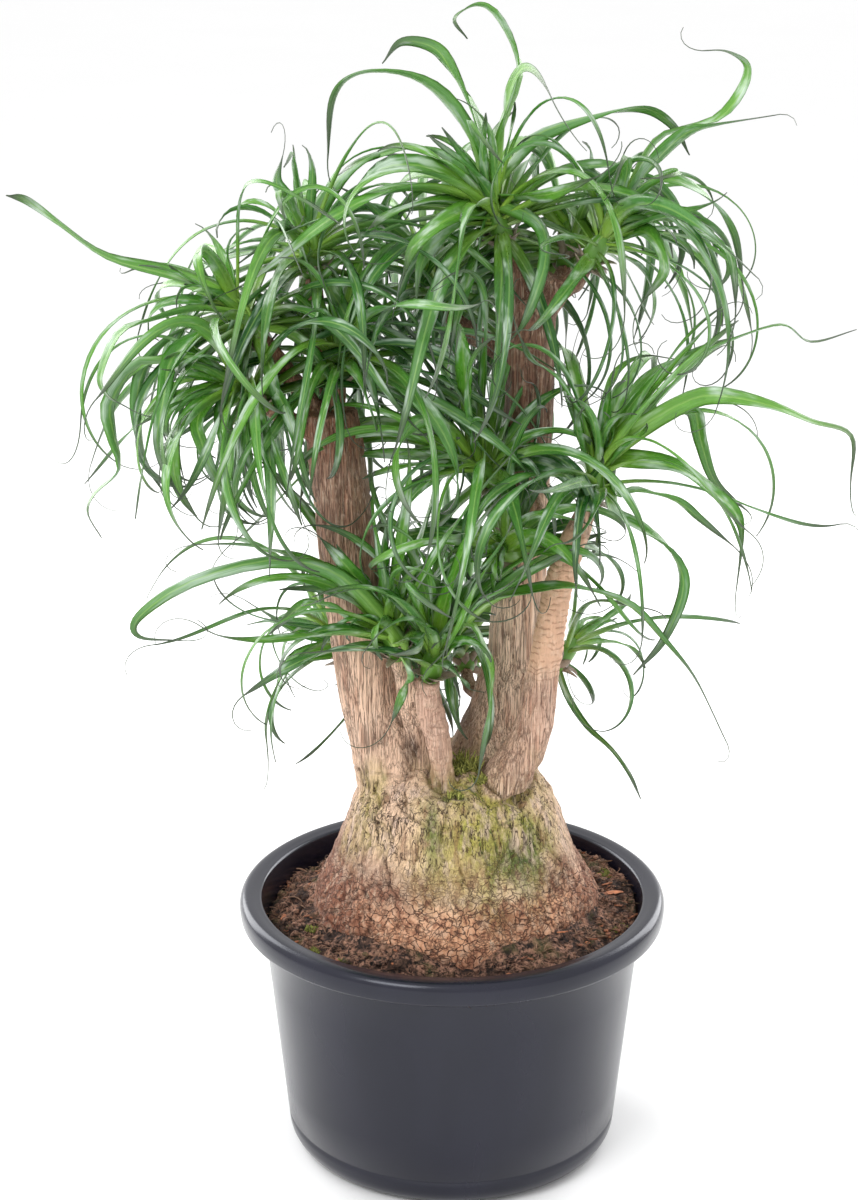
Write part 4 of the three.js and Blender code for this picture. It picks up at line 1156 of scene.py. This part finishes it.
def body_radius(height):
    """The pot's outer radius between its foot and its lip."""
    slope = (BODY_TOP_RADIUS - BODY_FOOT_RADIUS) / (LIP_BOTTOM - CORNER_RADIUS)
    return BODY_FOOT_RADIUS + slope * (height - CORNER_RADIUS)


def pot_piece():
    # Each height has how far its line lies in: the body has a shallow groove above the foot
    body = ((24, 0), (25, 0.7), (26.2, 0.7), (27.4, 0), (60, 0), (110, 0), (160, 0), (LIP_BOTTOM - 4, 0))
    outline = [
        (0, 1.2), (100, 1.2), (112, 0), (FOOT_FLAT, 0),
        *arc(FOOT_FLAT, CORNER_RADIUS, CORNER_RADIUS, -80, 0, 9),
        *((body_radius(height) - dent, height) for height, dent in body),
        (BODY_TOP_RADIUS + 1.2, LIP_BOTTOM - 0.8), (BODY_TOP_RADIUS + 3.5, LIP_BOTTOM),
        (RIM_RADIUS - 4, LIP_BOTTOM), (RIM_RADIUS - 1.6, LIP_BOTTOM + 0.7),
        (RIM_RADIUS - 0.8, LIP_BOTTOM + 2.4), (RIM_RADIUS, LIP_BOTTOM + 9),
        *arc(RIM_RADIUS - 7.5, POT_HEIGHT - 7.5, 7.5, 0, 90, 9),
        (RIM_RADIUS - 12, POT_HEIGHT - 0.3), (MOUTH_RADIUS + 4, POT_HEIGHT - 1),
        *arc(MOUTH_RADIUS + 3, POT_HEIGHT - 4, 3, 90, 170, 5),
        (BODY_TOP_RADIUS - WALL, LIP_BOTTOM), (BODY_FOOT_RADIUS - WALL, CORNER_RADIUS),
        *arc(FOOT_FLAT, CORNER_RADIUS, CORNER_RADIUS - WALL, -10, -80, 5),
        (FOOT_FLAT, FLOOR), (0, FLOOR),
    ]
    piece = new_piece("pot_shell", *lathe(outline, 160), "pot", pot_material(), ["pot"])
    drills = Shell()
    for angle in around(DRAIN_COUNT) + math.pi / DRAIN_COUNT:
        x = DRAIN_CIRCLE * math.cos(angle)
        y = DRAIN_CIRCLE * math.sin(angle)
        rings = [circle((x, y, height), DRAIN_RADIUS, (1, 0, 0), (0, 1, 0), 28) for height in (-8, 12)]
        drills.tube(rings)
    drill = add_object("drills", new_mesh("drills", np.concatenate(drills.points), drills.faces))
    cut = piece.modifiers.new("drain", "BOOLEAN")
    cut.operation = "DIFFERENCE"
    cut.solver = "EXACT"
    cut.object = drill
    piece.data = applied(piece)
    piece.modifiers.clear()
    bpy.data.objects.remove(drill)


# The soil and what lies on it


def base_reach(angle, height):
    """The radius of the swollen base at an angle and a height."""
    radius = np.interp(height, *zip(*BASE_PROFILE))
    return radius * (1 + 0.02 * np.cos(3 * angle + 0.6) + 0.015 * np.cos(5 * angle + 2 + height / 60))


def wall_at(height):
    """The radius of the pot's inside, less the gap to the soil."""
    return body_radius(height) - WALL - SOIL_GAP


def soil_height(x, y):
    """The soil's surface: high at the back right, lower at the rest of the wall, heaped before the base."""
    radius = np.hypot(x, y)
    angle = np.arctan2(y, x)
    height = np.interp(radius, (116, 122, 134, 146, BED_RADIUS), (223, 220, 212, 205, 200))
    height = height + spot((angle, 0.45, 0.85)) * np.interp(radius, (125, BED_RADIUS), (1, 16))
    heaps = 3 * spot((angle, -2.2, 0.34)) + 3 * spot((angle, -0.93, 0.3)) - 15 * spot((angle, -1.52, 0.2))
    height = height + np.clip((BED_RADIUS - radius) / 16, 0, 1) * heaps
    flat = np.stack([x, y, 0 * x], -1)
    return height + 2.6 * noise(flat, 15, 81) + 1.9 * noise(flat, 6.5, 82) + 1.2 * noise(flat, 3.2, 83)


def soil_piece(material):
    angle = around(BED_SIDES)

    def ring(radius, height, middle=0, flatten=1):
        x = middle + radius * np.cos(angle)
        y = radius * flatten * np.sin(angle)
        return np.stack([x, y, np.full(BED_SIDES, height)], -1)

    rings = [
        ring(FOOT_FLAT - 0.5, FLOOR + 0.3),
        ring(BODY_FOOT_RADIUS - 8, 10),
        ring(wall_at(CORNER_RADIUS) - 1, CORNER_RADIUS + 1),
        ring(wall_at(110), 110),
    ]
    inner = np.hypot(*ring(base_reach(angle, 221) - 2.5, 0, BASE_X, BASE_FLATTEN).T[:2])
    outer = wall_at(198) - 0.2
    for i in range(BED_STEPS + 1):
        radius = outer + (inner - outer) * (i / BED_STEPS)
        rings.append(ring(radius, soil_height(radius * np.cos(angle), radius * np.sin(angle))))
    for height in (185, 160, 135, 119):
        rings.append(ring(base_reach(angle, max(height, 120)) + 1.2, height, BASE_X, BASE_FLATTEN))
    points = np.concatenate(rings)
    values = {"tone": np.zeros(len(points))}
    new_piece("soil_bed", points, tube_faces(len(rings), BED_SIDES), "soil", material, ["soil"], values)


def height_at(x, y):
    return float(soil_height(np.array([x]), np.array([y]))[0])


def on_soil(draws, near=None):
    """A place on the soil bed, off the base, anywhere or near an angle and a radius."""
    for _ in range(40):
        if near is None:
            angle = 2 * math.pi * draws.one()
            radius = 112 + 44 * math.sqrt(draws.one())
        else:
            angle = near[0] + draws.swing(0.02)[0]
            radius = near[1] + draws.swing(16)[0]
        x = radius * math.cos(angle)
        y = radius * math.sin(angle)
        if math.hypot(x - BASE_X, y / BASE_FLATTEN) > base_reach(angle, 214) + 1 and radius < 153:
            break
    return x, y, height_at(x, y)


def crumbs(material):
    """Small rough lumps of soil."""
    draws = Draws(4242)
    shell = Shell()
    ball = bmesh.new()
    bmesh.ops.create_icosphere(ball, subdivisions=2, radius=1)
    points = np.array([v.co[:] for v in ball.verts])
    faces = [tuple(v.index for v in f.verts) for f in ball.faces]
    ball.free()
    for i in range(CRUMBS):
        x, y, z = on_soil(draws)
        size = 1.2 + 4.4 * draws.one() ** 4
        shape = np.array([0.7 + 0.7 * draws.one(), 0.7 + 0.7 * draws.one(), 0.5 + 0.4 * draws.one()])
        lump = points * (1 + 0.5 * noise(points + i * 3.1, 0.7, 91))[:, None]
        shell.add(lump * shape * size + (x, y, z + 0.1 * size), faces, tone=0.8 * draws.one())
    shell.piece("soil_crumbs", "soil", material)


def chips(material):
    """Flat splinters of bark lying on the soil. The last is the one large orange one of the photo."""
    draws = Draws(777)
    shell = Shell()
    outline = np.array([(-1, 0.2), (-0.5, 1), (0.5, 1), (1, 0.1), (0.4, -1), (-0.6, -1)])
    for i in range(CHIPS):
        x, y, z = on_soil(draws)
        long = 4 + 12 * draws.one() ** 2
        broad = 1.6 + 4 * draws.one() ** 2
        thick = 0.8 + 0.9 * draws.one()
        turn = 2 * math.pi * draws.one()
        is_last = i == CHIPS - 1
        if is_last:
            x, y, long, broad, turn = 138, 8, 18, 7, 0.5
            z = height_at(x, y) + 1.5
        cos, sin = math.cos(turn), math.sin(turn)
        pitch = draws.swing(0.5)[0]
        rings = []
        for share in np.arange(7) / 6:
            taper = math.sin(math.pi * (0.08 + 0.84 * share)) ** 0.5
            jag = draws.swing(1)[0] * broad * 0.4
            along = (share - 0.5) * long
            side, up = (outline * (broad / 2 * taper, thick / 2)).T + ((jag,), (along * pitch,))
            ring = (along * cos - side * sin, along * sin + side * cos, up)
            rings.append(np.stack(ring, -1) + (x, y, z + 0.6 + abs(pitch) * 2))
        shell.tube(rings, turned=True, tone=max(draws.one(), is_last))
    shell.piece("wood_chips", "soil", material, is_smooth=False)


def fibres(material):
    """Fine roots and peat fibres lying over each other."""
    draws = Draws(1313)
    shell = Shell()
    for _ in range(FIBRES):
        x, y, z = on_soil(draws)
        heading = 2 * math.pi * draws.one()
        length = 4 + 14 * draws.one() ** 2
        bend = draws.swing(3)[0]
        pitch = draws.one() * 0.5
        thick = 0.3 + 0.55 * draws.one() ** 2
        place = np.array([x, y, z + 0.6])
        rings = []
        for step in range(6):
            level = math.sin(math.pi * step / 5) * pitch * length * 0.4
            ahead = np.array([math.cos(heading), math.sin(heading), 0])
            side = (-ahead[1], ahead[0], 0)
            size = thick * (0.5 + 0.5 * math.sin(math.pi * (0.1 + 0.8 * step / 5)))
            rings.append(circle(place + (0, 0, level), size, side, (0, 0, 1), 3))
            place = place + ahead * length / 5
            heading += bend / 5
        shell.tube(rings, turned=True, tone=draws.one())
    shell.piece("soil_fibres", "soil", material)


def tuft(shell, draws, centre, spread, count, tall, shade=1):
    """A tuft of moss: many small pointed shoots."""
    for _ in range(count):
        turn = 2 * math.pi * draws.one()
        away = spread * math.sqrt(draws.one())
        foot = centre + np.array([away * math.cos(turn), 0.7 * away * math.sin(turn), -0.25 * away])
        lean = 0.2 + 0.8 * draws.one()
        heading = 2 * math.pi * draws.one()
        out = math.sin(lean)
        ahead = np.array([out * math.cos(heading), out * math.sin(heading), math.cos(lean)])
        across = unit(np.cross(ahead, [0.3, 0.2, 1]))
        other = np.cross(ahead, across)
        length = tall * (0.5 + 0.7 * draws.one())
        profile = ((-0.2, 0.8), (0.3, 0.9), (0.7, 0.6), (1, 0.12))
        rings = [circle(foot + ahead * share * length, radius, across, other, 4) for share, radius in profile]
        shell.tube(rings, tone=shade * draws.one())


def top_of(piece, x, y, limit):
    """How high a piece's surface is at a place, below a limit."""
    points = np.empty(len(piece.data.vertices) * 3)
    piece.data.vertices.foreach_get("co", points)
    across, deep, high = points.reshape(-1, 3).T / MM
    return float(np.max(high[(np.hypot(across - x, deep - y) < 2.5) & (high < limit)]))


def moss_piece(material, body):
    """Moss on the base, in front of the main trunk, and on the soil."""
    draws = Draws(909)
    shell = Shell()
    for x, y, spread, count, tall in (
        (8, -20, 8, 50, 16), (14, -28, 9, 54, 13), (5, -36, 7, 34, 9),
        (22, -42, 8, 34, 7), (2, -62, 7, 24, 5),
    ):
        tuft(shell, draws, (x, y, top_of(body, x, y, 400)), spread, count, tall)
    for near in (
        (-0.28, 139), (-0.36, 144), (-0.7, 146), (-2.5, 146),
        (-2.68, 138), (-2.25, 140), (0.43, 146), (0.36, 143),
    ):
        tuft(shell, draws, np.add(on_soil(draws, near), (0, 0, 0.5)), 7, 60, 3.5, 0.35)
    shell.piece("moss_tufts", "leaves", material)


# The object

leaf = leaf_material()
for head in HEADS:
    head_piece(head, leaf)
body = woody_body()
pot_piece()
soil = soil_material()
soil_piece(soil)
crumbs(soil)
chips(speckled_material(
    "wood_chip", (96, 60, 44), (206, 130, 90), (66, 42, 32), 0.35, (1, 0.3), 500, 0.85, 0.0006,
))
fibres(soil)
moss = speckled_material("moss", (112, 116, 50), (186, 186, 96), (56, 64, 26), 0.4, (), 700, 0.9, 0.0008)
moss_piece(moss, body)


# Floor, light and camera


def floor():
    n = Nodes("pale_floor")
    cloud = n.noise(n.place(), 1.5, 2)
    material = n.finish(Base_Color=n.mix(cloud, (0.93, 0.93, 0.93), (0.95, 0.95, 0.95)), Roughness=0.9)
    reach = 60000
    corners = [(-reach, -reach, 0), (reach, -reach, 0), (reach, reach, 0), (-reach, reach, 0)]
    mesh = new_mesh("floor", corners, [(0, 1, 2, 3)])
    mesh.materials.append(material)
    add_object("floor", mesh)


def area_light(name, place, aim, size, power):
    light = bpy.data.lights.new(name, "AREA")
    light.shape = "RECTANGLE"
    light.size, light.size_y = size
    light.energy = power
    lamp = add_object(name, light)
    lamp.location = place
    lamp.rotation_mode = "QUATERNION"
    lamp.rotation_quaternion = Vector([b - a for a, b in zip(place, aim)]).to_track_quat("-Z", "Y")


floor()
area_light("key", (-1.4, -2, 2.7), (0, 0, 0.5), (1.4, 1.4), 44)
area_light("right_soft", (1.5, 1.5, 1.15), (0, 0, 0.3), (1.2, 1.6), 30)
area_light("left_soft", (-1.5, 1.5, 1.15), (0, 0, 0.3), (1.2, 1.6), 30)

world = bpy.data.worlds.new("studio")
bpy.context.scene.world = world
world.use_nodes = True
world.node_tree.nodes["Background"].inputs["Color"].default_value = (1, 1, 1, 1)
world.node_tree.nodes["Background"].inputs["Strength"].default_value = 1.05
bpy.context.scene.view_settings.view_transform = "Standard"

camera = bpy.data.cameras.new("camera")
camera.lens = LENS
camera.sensor_width = SENSOR
camera.clip_end = 200
eye = add_object("camera", camera)
eye.location = CAMERA_PLACE
eye.rotation_euler = (math.radians(90 - LOOKS_DOWN), 0, 0)
bpy.context.scene.camera = eye
